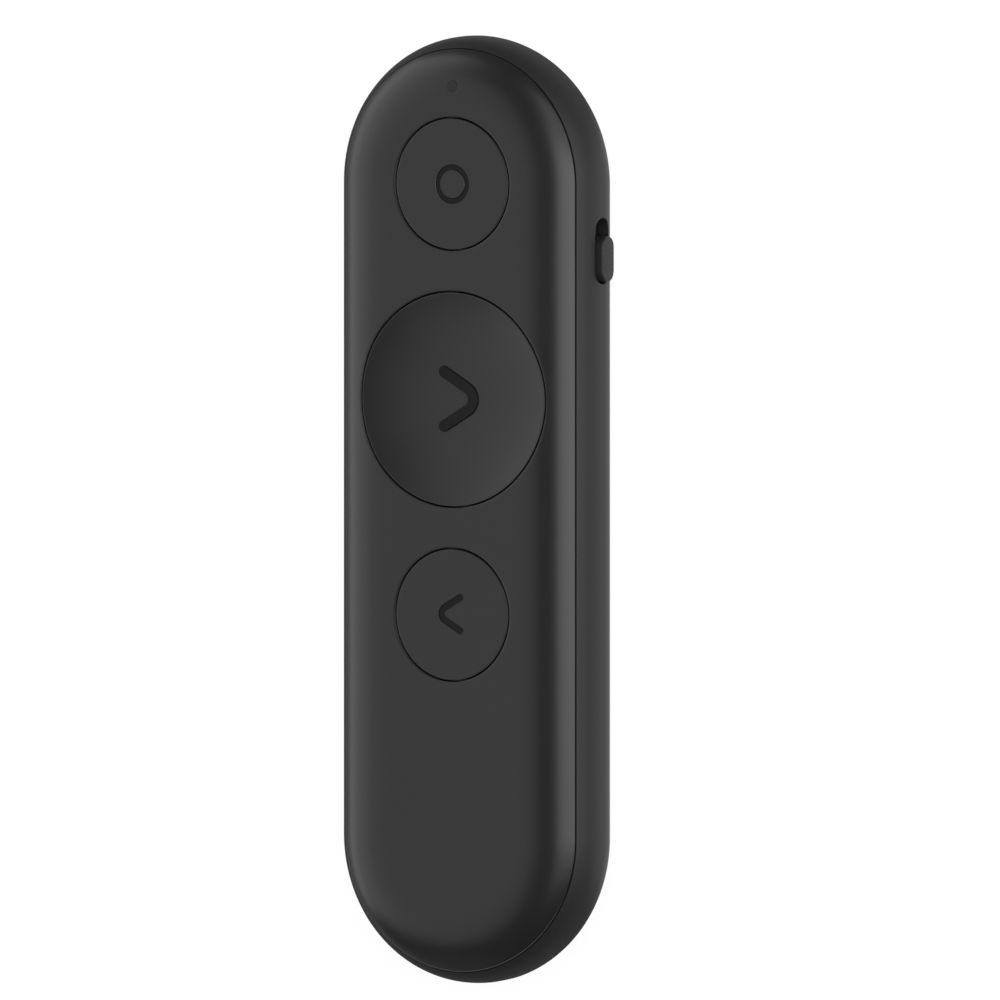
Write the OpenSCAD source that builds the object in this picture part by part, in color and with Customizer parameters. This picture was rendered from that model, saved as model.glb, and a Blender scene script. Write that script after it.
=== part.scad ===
// Pocket presentation clicker, lying on its flat back.
// +Z is the face with the keys, +Y the end with the status light and +X the side with the power slide.
// The origin is the centre of the flat back. All sizes are in millimetres.

/* [Body] */
// Length over both round ends
body_l = 96.8; // [95:0.2:102]
// Width at the widest line
body_w = 30.1; // [29.9:0.1:31.5]
// Thickness from the flat back to the flat face
body_t = 11.8; // [11.7:0.1:12.4]
// Height of the widest line above the back
widest_z = 6.6; // [6.4:0.1:6.9]
// Height of the parting line between housing and cover
seam_z = 10.15; // [10.05:0.05:10.3]
// Half width of the flat part of the face
face_flat = 7.65; // [7.5:0.05:7.9]
// Half width of the flat back
back_flat = 4.1; // [3:0.1:5]
// Squareness of the section above the widest line, where 2 is an ellipse
face_power = 2.63; // [2.4:0.01:2.8]
// Squareness of the section below the widest line, where 2 is an ellipse
back_power = 1.94; // [1.9:0.01:2.2]
// Thickness of the housing's floor and flanks
wall = 1.5; // [1.3:0.05:1.6]
// Thickness of the cover
cover_wall = 1.4; // [1.2:0.05:1.5]
// Width of the housing's rim at the parting line
rim_wall = 1.12; // [1:0.02:1.2]
// Bevel along both sides of the parting line
seam_bevel = 0.1; // [0.05:0.01:0.15]

/* [Keys] */
// Distance from the upper end of the body to the middle of the upper key
pointer_inset = 15; // [14.8:0.1:15.6]
// Distance from one key to the next
key_pitch = 22; // [21.6:0.1:22.4]
// Width of the cover's land beside the large key, from its hole to the parting line
next_land = 2.79; // [2.75:0.01:3.3]
// Radius of a small key's hole
small_hole_r = 6.85; // [6.3:0.05:7]
// Gap round each key
key_gap = 0.16; // [0.12:0.01:0.2]
// Depth of the dish in the large key
dish_depth = 1; // [0.6:0.05:1]
// Travel of each key
key_travel = 0.3; // [0.2:0.05:0.35]
// Height of the chevron on the large key
next_mark_h = 6.7; // [5:0.1:8]
// Width of the chevron on the large key
next_mark_w = 4.6; // [4:0.1:5.5]
// Line width of the chevron on the large key
next_mark_line = 1.15; // [0.8:0.05:1.3]
// Height of the chevron on the lower key
back_mark_h = 4.1; // [3.4:0.1:5]
// Width of the chevron on the lower key
back_mark_w = 2.95; // [2.5:0.05:3.5]
// Line width of the chevron on the lower key
back_mark_line = 0.7; // [0.6:0.05:0.9]
// Outer diameter of the ring on the upper key
ring_d = 3.95; // [3:0.05:5]
// Line width of the ring on the upper key
ring_line = 0.5; // [0.4:0.05:0.8]
// Depth of the pocket that holds each mark
mark_pocket = 0.35; // [0.3:0.05:0.4]
// How far the small keys' marks lie below their surface
mark_sink = 0.08; // [0.05:0.01:0.12]
// How far the large key's mark stands out of the dish
next_mark_proud = 0.16; // [0.05:0.01:0.2]

/* [Status light] */
// Distance from the upper end of the body to the status light
light_inset = 5; // [4.9:0.05:5.3]
// Diameter of the status light
light_d = 1.2; // [1:0.05:1.4]

/* [Power slide] */
// Length of the slot
slot_l = 6.77; // [6.5:0.05:7]
// Width of the slot
slot_w = 2.6; // [2.4:0.02:2.8]
// Height of the middle of the slot above the back
slide_z = 6.85; // [6.8:0.05:7.2]
// Distance from the upper end of the body to the middle of the slot
slot_inset = 21.68; // [21.2:0.02:22.2]
// Length of the slide's thumb piece
thumb_l = 4.65; // [4.6:0.05:4.95]
// Gap between the thumb piece and the slot's long sides
thumb_gap = 0.15; // [0.1:0.01:0.2]
// How far the thumb piece stands out of the flank
thumb_proud = 0.68; // [0.4:0.02:0.9]
// Travel of the slide
slide_travel = 1.6; // [1.3:0.1:1.65]

/* [Electronics] */
// Height of the board's upper face
board_top = 6.35; // [6.25:0.05:6.45]
// Thickness of the board
board_t = 1; // [0.8:0.1:1.05]
// Thickness of the battery cell
cell_t = 3.2; // [2.8:0.05:3.25]
// Length of the battery cell
cell_l = 36.6; // [34:0.2:37]
// Width of the battery cell
cell_w = 15; // [13:0.2:15.4]
// Width of the charging receptacle's shell
port_w = 8.94; // [8.8:0.02:9]
// Height of the charging receptacle's shell
port_h = 3.26; // [3.2:0.02:3.3]
// Length of the charging receptacle's shell
port_l = 7.35; // [7:0.05:7.6]

/* [Hidden] */
$fn = 96;
// Overlap of joined shapes and overshoot of cuts
eps = 0.5;
// Straight pieces in each curve of the section
curve_steps = 18;

// Section
half_w = body_w / 2;
spine = body_l / 2 - half_w;
face_rise = body_t - widest_z;
case_fit = 0.1;
seam_r = face_flat + (half_w - face_flat) * superellipse_share((seam_z - widest_z) / face_rise, face_power);
cavity_r = seam_r - rim_wall;
tongue_t = 0.7;
tongue_h = 0.9;
tongue_out = cavity_r - case_fit;
tongue_in = tongue_out - tongue_t;
cover_under = body_t - cover_wall;

// Snap hooks along both flanks
hook_low_inset = 20.4;
hook_middle_y = -5;
hook_high_inset = 35.4;
hook_spots = [end_y(hook_low_inset), hook_middle_y, end_y(-hook_high_inset)];
hook_l = 4.4;
hook_drop = 2.05;
barb = 0.3;
barb_h = 0.5;

// Keys
pointer_y = end_y(-pointer_inset);
next_y = pointer_y - key_pitch;
back_y = next_y - key_pitch;
next_hole_r = seam_r - next_land;
next_r = next_hole_r - key_gap;
small_r = small_hole_r - key_gap;
flange = 0.7;
flange_t = 0.6;
flange_gap = 0.08;
small_flange_z = cover_under - flange_gap - flange_t;
next_flange_z = cover_inner_z(next_r + flange) - flange_gap - flange_t;
cap_t = 1.2;
skirt_t = 0.9;
key_bevel = 0.12;
guide_w = 1.3;
guide_gap = 0.15;
dish_r = (next_r * next_r + dish_depth * dish_depth) / (2 * dish_depth);
dish_centre_z = body_t - dish_depth + dish_r;
mark_fit = 0.02;
rib_t = 0.8;
rib_h = cap_t / 2 + 0.2;
next_bend = 1.3;
back_bend = 0.7;
next_mark_shift = 0.2;
back_mark_shift = -0.15;
back_mark_rise = 0.1;

// Push switches under the keys
switch_w = 4.6;
switch_h = 1.6;
switch_floor = 0.3;
switch_lid = 0.6;
dome_r = 1.8;
dome_rise = 0.3;
dome_t = 0.1;
plunger_r = 1.15;
plunger_flange_r = 1.6;
plunger_flange_t = 0.2;
plunger_fit = 0.05;
plunger_rise = 0.6;
switch_top = board_top + switch_h;
switch_room_top = switch_top - switch_lid;
plunger_base = switch_room_top - plunger_fit - plunger_flange_t;
plunger_top = switch_top + plunger_rise;
stem_r = 1.5;

// Power slide and its switch
slide_body = [2.65, 6.8, 1.7];
lever_z = board_top + slide_body[2] / 2;
slide_body_x = cavity_r - 3.25;
slide_leg = [0.8, 0.5, 0.2];
slide_leg_pitch = 2;
slide_leg_lap = 0.1;
slot_y = end_y(-slot_inset);
lever = [1.95, 1.3, 0.8];
lever_reach = 0.7;
lever_end = slide_body_x + slide_body[0] + lever_reach;
lever_fit = 0.06;
lever_grip = 0.55;
thumb_w = slot_w - 2 * thumb_gap;
thumb_end_gap = (slot_l - thumb_l - slide_travel) / 2;
thumb_y = slot_y - slot_l / 2 + thumb_end_gap + thumb_l / 2;
lever_y = slot_y - slide_travel / 2;
plate_fit = 0.1;
plate_x = cavity_r + plate_fit;
plate_t = 0.7;
plate_lap = 0.45;
plate_l = slot_l + slide_travel + 2 * plate_lap;
plate_w = slot_w + 2 * plate_lap;
plate_y = slot_y - slide_travel / 2;
recess_x = plate_x + plate_t + plate_fit;
thumb_face = half_w + thumb_proud;
prong_w = 0.7;
prong_x = lever_end - lever_grip;
groove_pitch = 0.55;
groove_depth = 0.12;
groove_w = 0.2;

// Board and its fixings
board_fit = 0.45;
board_r = cavity_r - board_fit;
board_under = board_top - board_t;
screw_x = board_r - 2.5;
screw_low_inset = 16.4;
screw_high_inset = 30.4;
screw_spots = [for (side = [-1, 1], y = [end_y(-screw_high_inset), end_y(screw_low_inset)])
    [side * screw_x, y]];
rest_x = 6;
rest_inset = 10.4;
rest_spots = [for (side = [-1, 1]) [side * rest_x, end_y(-rest_inset)]];
post_r = 1.9;
rest_r = 1.2;
screw_r = 0.7;
screw_fit = 0.03;
screw_head_r = 1.4;
screw_head_t = 0.8;
screw_length = 2.6;
screw_clear_r = 0.85;
bore_spare = 0.5;
drive_slot = [1.7, 0.4, 0.45];

// Charging receptacle, sunk in a notch of the board
port_drop = 1.3;
port_z = board_top - port_drop;
port_recess = 1.85;
port_front = -body_l / 2 + port_recess;
port_wall = 0.3;
port_gap = 0.15;
port_notch_gap = 0.23;
port_tab = [2.1, 1, 0.3];
port_tab_x = port_w / 2 - port_h / 2 + 0.7;
port_tab_y = [3.6, 5.8];
tongue_w = 6.7;
tongue_plate_t = 0.7;
tongue_set_back = 0.6;
tongue_base_l = 1.6;
insert_fit = 0.02;

// Battery, stuck to the floor by a foam pad
pad_t = 0.3;
pad_margin = 1.5;
bay_gap = 0.2;
cell_z = wall + pad_t;
cell_inset = 20.4;
cell_y = end_y(cell_inset) + cell_l / 2;
cell_corner = 1.2;
cell_end = cell_y + cell_l / 2;
guard = [14, 3, 1];
guard_end = cell_end + guard[1];
bay_bottom = cell_y - cell_l / 2 - bay_gap;
bay_top = guard_end + bay_gap;
stop_rib = [9, 0.8, 1.2];
plug = [3.6, 2.6, 2];
plug_fit = 0.06;
header = [4.6, 3, 2.6];
lead_run = 7;
header_y = guard_end + lead_run;
plug_y = header_y - header[1] / 2;
plug_back = plug_y - plug[1] / 2;
plug_z = board_under - header[2] / 2 - plug[2] / 2;
lead_r = 0.4;
lead_x = 0.7;
lead_spread = 3.2;
lead_leave = 3;
lead_arrive = 3.5;
lead_z = cell_z + cell_t / 2;
lead_rings = 16;
lead_sides = 8;

// Parts on the board: [x, y] of the middle of each
radio = [6, 6, 0.9];
radio_at = [0, (pointer_y + next_y) / 2];
crystal_size = [3.2, 2.5, 0.8];
crystal_at = radio_at + [6, 1];
motion = [3, 3, 0.9];
motion_at = radio_at - [6, 0];
antenna = [2.2, 6.5, 1.1];
antenna_at = [-6.8, end_y(-9.8)];
charger = [3, 3, 0.8];
charger_at = [5, end_y(19.4)];
inductor = [4, 4, 1.8];
inductor_at = [-4.6, end_y(19.4)];
inductor_dimple = [1.2, 0.2];
led_size = [0.8, 1.6, 0.6];
chip = [0.6, 1.1, 0.55];
chip_step = 1.4;
light_y = end_y(-light_inset);
light_fit = 0.03;
light_shoulder = 0.5;
light_boss_t = 0.8;
light_air = 0.2;
light_base = board_top + led_size[2] + light_air;
light_boss_z = cover_under - 1;

// Place along the body at a distance from the lower end, or, where it is negative, from the upper end
function end_y(distance) = distance < 0 ? body_l / 2 + distance : distance - body_l / 2;

// Share of the half axis left at the given share of the other one
function superellipse_share(share, power) = pow(1 - pow(share, power), 1 / power);

// Points of a quarter curve round the corner (x, z), from angle t0 to angle t1
function quarter(x, z, a, b, power, t0, t1) =
    [for (i = [0:curve_steps]) let (t = t0 + (t1 - t0) * i / curve_steps)
        [x + a * pow(max(cos(t), 0), 2 / power), z + b * pow(max(sin(t), 0), 2 / power)]];

// Angle at which a quarter curve is at the given share of its height or of its width
function angle_at_height(share, power) = asin(pow(share, power / 2));
function angle_at_width(share, power) = acos(pow(share, power / 2));

// Height of the cover's underside at a distance from the spine
function cover_inner_z(r) = widest_z + (face_rise - cover_wall)
    * superellipse_share(max(r - face_flat, 0) / (half_w - face_flat - cover_wall), face_power);

// Outer curve of the face, from the height z up to the flat
function face_points(z) = quarter(face_flat, widest_z, half_w - face_flat, face_rise, face_power,
    angle_at_height((z - widest_z) / face_rise, face_power), 90);

// Outer curve below the widest line, from the flat back up
function back_points() =
    [for (p = quarter(back_flat, widest_z, half_w - back_flat, widest_z, back_power, 90, 0))
        [p[0], 2 * widest_z - p[1]]];

// Half section of the cover with its tongue
function cover_section() = concat(
    [[0, cover_under]],
    quarter(face_flat, widest_z, half_w - face_flat - cover_wall, face_rise - cover_wall, face_power, 90,
        angle_at_width((tongue_in - face_flat) / (half_w - face_flat - cover_wall), face_power)),
    [[tongue_in, seam_z - tongue_h], [tongue_out, seam_z - tongue_h], [tongue_out, seam_z],
        [seam_r - seam_bevel, seam_z]],
    face_points(seam_z + seam_bevel),
    [[0, body_t]]);

// Half section of the housing
function housing_section() = concat(
    [[0, 0]],
    back_points(),
    [for (i = [1:curve_steps]) let (z = widest_z + (seam_z - seam_bevel - widest_z) * i / curve_steps)
        [face_flat + (half_w - face_flat) * superellipse_share((z - widest_z) / face_rise, face_power), z]],
    [[seam_r - seam_bevel, seam_z], [cavity_r, seam_z]],
    [for (p = quarter(back_flat, widest_z, half_w - back_flat - wall, widest_z - wall, back_power,
        angle_at_width((cavity_r - back_flat) / (half_w - back_flat - wall), back_power), 90))
        [p[0], 2 * widest_z - p[1]]],
    [[0, wall]]);

// Points of an arc round a centre
function arc_points(centre, r, a0, a1, steps) =
    [for (i = [0:steps]) let (a = a0 + (a1 - a0) * i / steps) centre + r * [cos(a), sin(a)]];

// Outline of a chevron that points along +X, with round ends and a round bend, centred on its box
function chevron(h, w, line, bend) =
    let (tail = [-(w - bend - line), (h - line) / 2],
        lean = atan2(tail[1], tail[0]) - acos(bend / norm(tail)),
        shift = [w / 2 - bend - line / 2, 0])
    [for (p = concat(
        arc_points([0, 0], bend + line / 2, -lean, lean, 12),
        arc_points(tail, line / 2, lean, lean + 180, 10),
        arc_points([0, 0], bend - line / 2, lean, -lean, 6),
        arc_points([tail[0], -tail[1]], line / 2, 180 - lean, 360 - lean, 10))) p + shift];

// Point of a cubic curve with end points a and d and control points b and c
function cubic(a, b, c, d, t) = pow(1 - t, 3) * a + 3 * t * pow(1 - t, 2) * b
    + 3 * t * t * (1 - t) * c + t * t * t * d;

// Solid of revolution at both ends of the spine, with the same section run between them.
// The section starts and ends on the axis.
module along_spine(section) {
    for (turn = [0, 180]) rotate([0, 0, turn]) translate([0, spine, 0])
        rotate_extrude(angle = 180) polygon(section);
    rotate([90, 0, 0]) linear_extrude(2 * spine, center = true)
        polygon(concat(section, [for (i = [len(section) - 2:-1:1]) [-section[i][0], section[i][1]]]));
}

// Plate with two round ends: l along X, w along Y, h along Z, centred
module stadium(l, w, h) {
    cube([l - w, w, h], center = true);
    for (turn = [0, 180]) rotate([0, 0, turn]) translate([(l - w) / 2, 0, -h / 2])
        rotate([0, 0, -90]) rotate_extrude(angle = 180) square([w / 2, h]);
}

// Box with a given middle in plan, standing at height z
module block(size, at, z) {
    translate([at[0] - size[0] / 2, at[1] - size[1] / 2, z]) cube(size);
}

// The outer form of the face, used to trim what lies flush with it
module face_form() {
    along_spine(concat([[0, widest_z]], [[half_w, widest_z]], face_points(widest_z), [[0, body_t]]));
}

// Slot, plate and receptacle shapes turned into place
module on_flank(x, y, z) {
    translate([x, y, z]) rotate([90, 0, 90]) children();
}
module on_end(y) {
    translate([0, y, port_z]) rotate([90, 0, 0]) children();
}

module rear_housing() color("#2d2d2e") {
    difference() {
        union() {
            difference() {
                along_spine(housing_section());
                block([cell_w + 2 * bay_gap, bay_top - bay_bottom, widest_z - wall],
                    [0, (bay_top + bay_bottom) / 2], wall);
            }
            intersection() {
                along_spine(concat([[0, 0]], back_points(), [[0, widest_z]]));
                union() {
                    for (p = screw_spots) translate([p[0], p[1], 0]) cylinder(r = post_r, h = board_under);
                    for (p = rest_spots) translate([p[0], p[1], 0]) cylinder(r = rest_r, h = board_under);
                }
            }
            for (y = [bay_bottom - stop_rib[1] / 2, bay_top + stop_rib[1] / 2])
                block([stop_rib[0], stop_rib[1], stop_rib[2] + eps], [0, y], wall - eps);
        }
        for (p = screw_spots) translate([p[0], p[1], board_under - screw_length - bore_spare])
            cylinder(r = screw_r + screw_fit, h = screw_length + bore_spare + eps);
        on_flank(half_w, slot_y, slide_z) stadium(slot_l, slot_w, 2 * (half_w - cavity_r) + 2 * eps);
        translate([cavity_r - eps, plate_y - plate_l / 2 - plate_fit, slide_z - plate_w / 2 - plate_fit])
            cube([recess_x - cavity_r + eps, plate_l + slide_travel + 2 * plate_fit,
                plate_w + 2 * plate_fit]);
        on_end(-body_l / 2) stadium(port_w + 2 * port_gap, port_h + 2 * port_gap, 4 * (half_w - cavity_r));
        for (side = [-1, 1], y = hook_spots)
            block([2 * (barb + case_fit), hook_l + 2 * case_fit, barb_h + 2 * case_fit],
                [side * cavity_r, y], seam_z - hook_drop - case_fit);
    }
}

module front_cover() color("#2f2f30") {
    difference() {
        union() {
            along_spine(cover_section());
            for (side = [-1, 1], y = hook_spots) {
                block([tongue_t, hook_l, hook_drop],
                    [side * (tongue_in + tongue_t / 2), y], seam_z - hook_drop);
                block([tongue_t + barb, hook_l, barb_h],
                    [side * (tongue_in + (tongue_t + barb) / 2), y], seam_z - hook_drop);
            }
            translate([0, light_y, light_boss_z])
                cylinder(r = light_d / 2 + light_boss_t, h = body_t - light_boss_z - cover_wall / 2);
            key_guides(pointer_y, small_r, small_flange_z);
            key_guides(back_y, small_r, small_flange_z);
            key_guides(next_y, next_r, next_flange_z);
        }
        for (hole = [[pointer_y, small_hole_r], [next_y, next_hole_r], [back_y, small_hole_r],
            [light_y, light_d / 2]])
            translate([0, hole[0], widest_z]) cylinder(r = hole[1], h = face_rise + eps);
    }
}

// Ribs under the cover that stop a key from turning
module key_guides(y, r, flange_z) {
    for (side = [-1, 1])
        block([guide_w, flange, cover_under - flange_z + key_travel + eps],
            [0, y + side * (r + key_gap + guide_gap + flange / 2)], flange_z - key_travel);
}

module status_window() color("#101011") {
    intersection() {
        face_form();
        translate([0, light_y, light_boss_z - eps])
            cylinder(r = light_d / 2 - light_fit, h = body_t - light_boss_z + eps);
    }
    translate([0, light_y, light_base])
        cylinder(r = light_d / 2 + light_shoulder, h = light_boss_z - light_fit - light_base);
}

// Flange under a key, notched for the cover's guide ribs
module key_flange(r, z) {
    difference() {
        translate([0, 0, z]) cylinder(r = r + flange, h = flange_t);
        translate([0, 0, z - eps]) cylinder(r = r - skirt_t, h = flange_t + 2 * eps);
        for (side = [-1, 1]) block([guide_w + 2 * guide_gap, flange + 2 * guide_gap, flange_t + 2 * eps],
            [0, side * (r + key_gap + guide_gap + flange / 2)], z - eps);
    }
}

// Flat round key with a bevelled edge
module small_key() {
    difference() {
        union() {
            translate([0, 0, small_flange_z])
                cylinder(r = small_r, h = body_t - key_bevel - small_flange_z);
            translate([0, 0, body_t - key_bevel])
                cylinder(r1 = small_r, r2 = small_r - key_bevel, h = key_bevel);
        }
        translate([0, 0, small_flange_z - eps])
            cylinder(r = small_r - skirt_t, h = body_t - cap_t - small_flange_z + eps);
    }
    key_flange(small_r, small_flange_z);
    translate([0, 0, plunger_top]) cylinder(r = stem_r, h = body_t - cap_t / 2 - plunger_top);
}

module pointer_button() color("#303031") translate([0, pointer_y, 0]) {
    difference() {
        small_key();
        translate([0, 0, body_t - mark_pocket]) ring(mark_fit, mark_pocket + eps);
    }
}

module back_button() color("#303031") translate([0, back_y, 0]) {
    difference() {
        small_key();
        translate([back_mark_shift, back_mark_rise, body_t - mark_pocket])
            back_chevron(mark_fit, mark_pocket + eps);
    }
}

module next_button() color("#303031") {
    difference() {
        intersection() {
            face_form();
            translate([0, next_y, next_flange_z]) cylinder(r = next_r, h = body_t);
        }
        dish(0);
        difference() {
            translate([0, next_y, next_flange_z - eps])
                cylinder(r = next_r - skirt_t, h = body_t - next_flange_z);
            dish(cap_t);
        }
        intersection() {
            dish(mark_pocket);
            translate([next_mark_shift, next_y, cover_under]) next_chevron(mark_fit, cover_wall + eps);
        }
    }
    translate([0, next_y, 0]) {
        key_flange(next_r, next_flange_z);
        translate([0, 0, plunger_top])
            cylinder(r = stem_r, h = body_t - dish_depth - cap_t / 2 - plunger_top);
        for (turn = [0, 60, 120]) rotate([0, 0, turn])
            block([2 * (next_r - skirt_t / 2), rib_t, rib_h], [0, 0], next_flange_z);
    }
}

// Ball that hollows the large key, grown by a depth
module dish(depth) {
    translate([0, next_y, dish_centre_z]) sphere(r = dish_r + depth, $fn = 240);
}

// The marks, each widened by a clearance on every side
module ring(clearance, h) {
    difference() {
        cylinder(r = ring_d / 2 + clearance, h = h);
        translate([0, 0, -eps]) cylinder(r = ring_d / 2 - ring_line - clearance, h = h + 2 * eps);
    }
}
module next_chevron(clearance, h) {
    linear_extrude(h) polygon(chevron(next_mark_h + 2 * clearance, next_mark_w + 2 * clearance,
        next_mark_line + 2 * clearance, next_bend));
}
module back_chevron(clearance, h) {
    linear_extrude(h) rotate(180) polygon(chevron(back_mark_h + 2 * clearance, back_mark_w + 2 * clearance,
        back_mark_line + 2 * clearance, back_bend));
}

module pointer_mark() color("#151516") translate([0, pointer_y, body_t - mark_pocket])
    ring(0, mark_pocket - mark_sink);

module back_mark() color("#151516")
    translate([back_mark_shift, back_y + back_mark_rise, body_t - mark_pocket])
    back_chevron(0, mark_pocket - mark_sink);

module next_mark() color("#151516") difference() {
    intersection() {
        dish(mark_pocket);
        translate([next_mark_shift, next_y, cover_under]) next_chevron(0, cover_wall);
    }
    dish(-next_mark_proud);
}

// Push switch: a case with a round room for the dome and the plunger's flange
module push_switch(y) color("#3a3a3d") translate([0, y, 0]) difference() {
    block([switch_w, switch_w, switch_h], [0, 0], board_top);
    translate([0, 0, board_top + switch_floor])
        cylinder(r = dome_r + plunger_fit, h = switch_room_top - board_top - switch_floor);
    translate([0, 0, switch_room_top - eps]) cylinder(r = plunger_r + plunger_fit, h = switch_lid + 2 * eps);
}
module push_plunger(y) color("#8f9296") translate([0, y, plunger_base]) {
    cylinder(r = plunger_flange_r, h = plunger_flange_t);
    cylinder(r = plunger_r, h = plunger_top - plunger_base);
}

// Snap dome: a thin spherical cap on the switch's floor
module push_dome(y) color("#b9b6ad") {
    round_r = (dome_r * dome_r + dome_rise * dome_rise) / (2 * dome_rise);
    edge = asin(dome_r / round_r);
    translate([0, y, board_top + switch_floor + dome_rise - round_r]) rotate_extrude()
        polygon(concat(arc_points([0, 0], round_r + dome_t, 90, 90 - edge, 6),
            arc_points([0, 0], round_r, 90 - edge, 90, 6)));
}

module pointer_switch() push_switch(pointer_y);
module next_switch() push_switch(next_y);
module back_switch() push_switch(back_y);
module pointer_plunger() push_plunger(pointer_y);
module next_plunger() push_plunger(next_y);
module back_plunger() push_plunger(back_y);
module pointer_dome() push_dome(pointer_y);
module next_dome() push_dome(next_y);
module back_dome() push_dome(back_y);

module power_slider() color("#333335") {
    difference() {
        on_flank((plate_x + thumb_face) / 2, thumb_y, slide_z)
            stadium(thumb_l, thumb_w, thumb_face - plate_x);
        for (i = [-3:3]) translate([thumb_face, thumb_y + i * groove_pitch, slide_z])
            cube([2 * groove_depth, groove_w, thumb_w + 2 * eps], center = true);
    }
    translate([plate_x, plate_y - plate_l / 2, slide_z - plate_w / 2]) cube([plate_t, plate_l, plate_w]);
    for (side = [-1, 1])
        block([plate_x + plate_t - prong_x, prong_w, lever[2]],
            [(prong_x + plate_x + plate_t) / 2, lever_y + side * (lever[1] / 2 + lever_fit + prong_w / 2)],
            lever_z - lever[2] / 2);
}

module slide_lever() color("#d8d4c8")
    block(lever, [lever_end - lever[0] / 2, lever_y], lever_z - lever[2] / 2);

module slide_switch() color("#9ea1a5") {
    difference() {
        block(slide_body, [slide_body_x + slide_body[0] / 2, slot_y], board_top);
        translate([lever_end - lever[0] - lever_fit, lever_y - lever[1] / 2 - lever_fit,
            lever_z - lever[2] / 2 - lever_fit])
            cube([lever[0], lever[1] + slide_travel + 2 * lever_fit, lever[2] + 2 * lever_fit]);
    }
    for (i = [-1:1])
        block(slide_leg, [slide_body_x + slide_leg_lap - slide_leg[0] / 2, slot_y + i * slide_leg_pitch],
            board_top);
}

module main_board() color("#1f4a33") {
    difference() {
        along_spine([[0, board_under], [board_r, board_under], [board_r, board_top], [0, board_top]]);
        for (p = screw_spots) translate([p[0], p[1], board_under - eps])
            cylinder(r = screw_clear_r, h = board_t + 2 * eps);
        block([port_w + 2 * port_notch_gap, 2 * (port_l + port_recess + port_notch_gap), board_t + 2 * eps],
            [0, -body_l / 2], board_under - eps);
    }
}

module board_screws() color("#a9acb0") {
    for (p = screw_spots) translate([p[0], p[1], 0]) difference() {
        union() {
            translate([0, 0, board_under - screw_length])
                cylinder(r = screw_r, h = screw_length + board_t + eps);
            translate([0, 0, board_top]) cylinder(r = screw_head_r, h = screw_head_t);
        }
        for (turn = [0, 90]) rotate([0, 0, turn])
            block([drive_slot[0], drive_slot[1], drive_slot[2] + eps], [0, 0],
                board_top + screw_head_t - drive_slot[2]);
    }
}

module status_led() color("#f2f2ea") block(led_size, [0, light_y], board_top);
module radio_chip() color("#1c1c1e") block(radio, radio_at, board_top);
module crystal() color("#c3c5c8") block(crystal_size, crystal_at, board_top);
module motion_sensor() color("#1c1c1e") block(motion, motion_at, board_top);
module chip_antenna() color("#e6e2d3") block(antenna, antenna_at, board_top);
module charger_chip() color("#1c1c1e") block(charger, charger_at, board_top);

module power_inductor() color("#4a4a4d") difference() {
    block(inductor, inductor_at, board_top);
    translate([inductor_at[0], inductor_at[1], board_top + inductor[2] - inductor_dimple[1]])
        cylinder(r = inductor_dimple[0], h = eps);
}

// Row of small two-ended parts beside a chip: side 1 lies towards the status light, side -1 away from it
module chip_row(count, beside, size, side) {
    for (i = [0:count - 1]) block(chip, beside
        + [(i - (count - 1) / 2) * chip_step, side * (size[1] / 2 + chip[1])], board_top);
}
module capacitors() color("#b79a6b") {
    chip_row(5, radio_at, radio, -1);
    chip_row(3, charger_at, charger, 1);
}
module resistors() color("#26262a") {
    chip_row(3, motion_at, motion, 1);
    chip_row(3, charger_at, charger, -1);
}

module usb_shell() color("#b4b7bb") {
    difference() {
        on_end(port_front + port_l / 2) stadium(port_w, port_h, port_l);
        on_end(port_front + port_l / 2)
            stadium(port_w - 2 * port_wall, port_h - 2 * port_wall, port_l + 2 * eps);
    }
    for (side = [-1, 1], y = port_tab_y)
        block(port_tab, [side * (port_tab_x + port_tab[0] / 2), port_front + y + port_tab[1] / 2], board_top);
}

module usb_tongue() color("#202022") {
    inner_w = port_w - 2 * port_wall - 2 * insert_fit;
    inner_h = port_h - 2 * port_wall - 2 * insert_fit;
    on_end(port_front + port_l - tongue_base_l / 2) stadium(inner_w, inner_h, tongue_base_l);
    block([tongue_w, port_l - tongue_set_back, tongue_plate_t],
        [0, port_front + tongue_set_back + (port_l - tongue_set_back) / 2], port_z - tongue_plate_t / 2);
}

module battery_cell() color("#9a9ca0") hull() {
    for (x = [-1, 1], y = [-1, 1])
        translate([x * (cell_w / 2 - cell_corner), cell_y + y * (cell_l / 2 - cell_corner), cell_z])
            cylinder(r = cell_corner, h = cell_t, $fn = 32);
}

module battery_pad() color("#e8e8e6")
    block([2 * back_flat, cell_l - 2 * pad_margin, pad_t], [0, cell_y], wall);

module protection_board() color("#8a6a1e")
    block(guard, [0, cell_end + guard[1] / 2], cell_z + (cell_t - guard[2]) / 2);

module battery_header() color("#ece8dc") difference() {
    block(header, [0, header_y], board_under - header[2]);
    block([plug[0] + 2 * plug_fit, plug[1], plug[2]], [0, plug_y], plug_z);
}

module battery_plug() color("#f4f1e8")
    block(plug, [0, plug_y], plug_z);

// Two insulated leads between the guard board and the plug
module battery_leads() color("#8c2222") {
    for (side = [-1, 1]) tube([for (i = [0:lead_rings])
        cubic([side * lead_spread, guard_end, lead_z], [side * lead_spread, guard_end + lead_leave, lead_z],
            [side * lead_x, plug_back - lead_arrive, plug_z + plug[2] / 2],
            [side * lead_x, plug_back, plug_z + plug[2] / 2], i / lead_rings)],
        lead_r, lead_sides);
}

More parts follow.
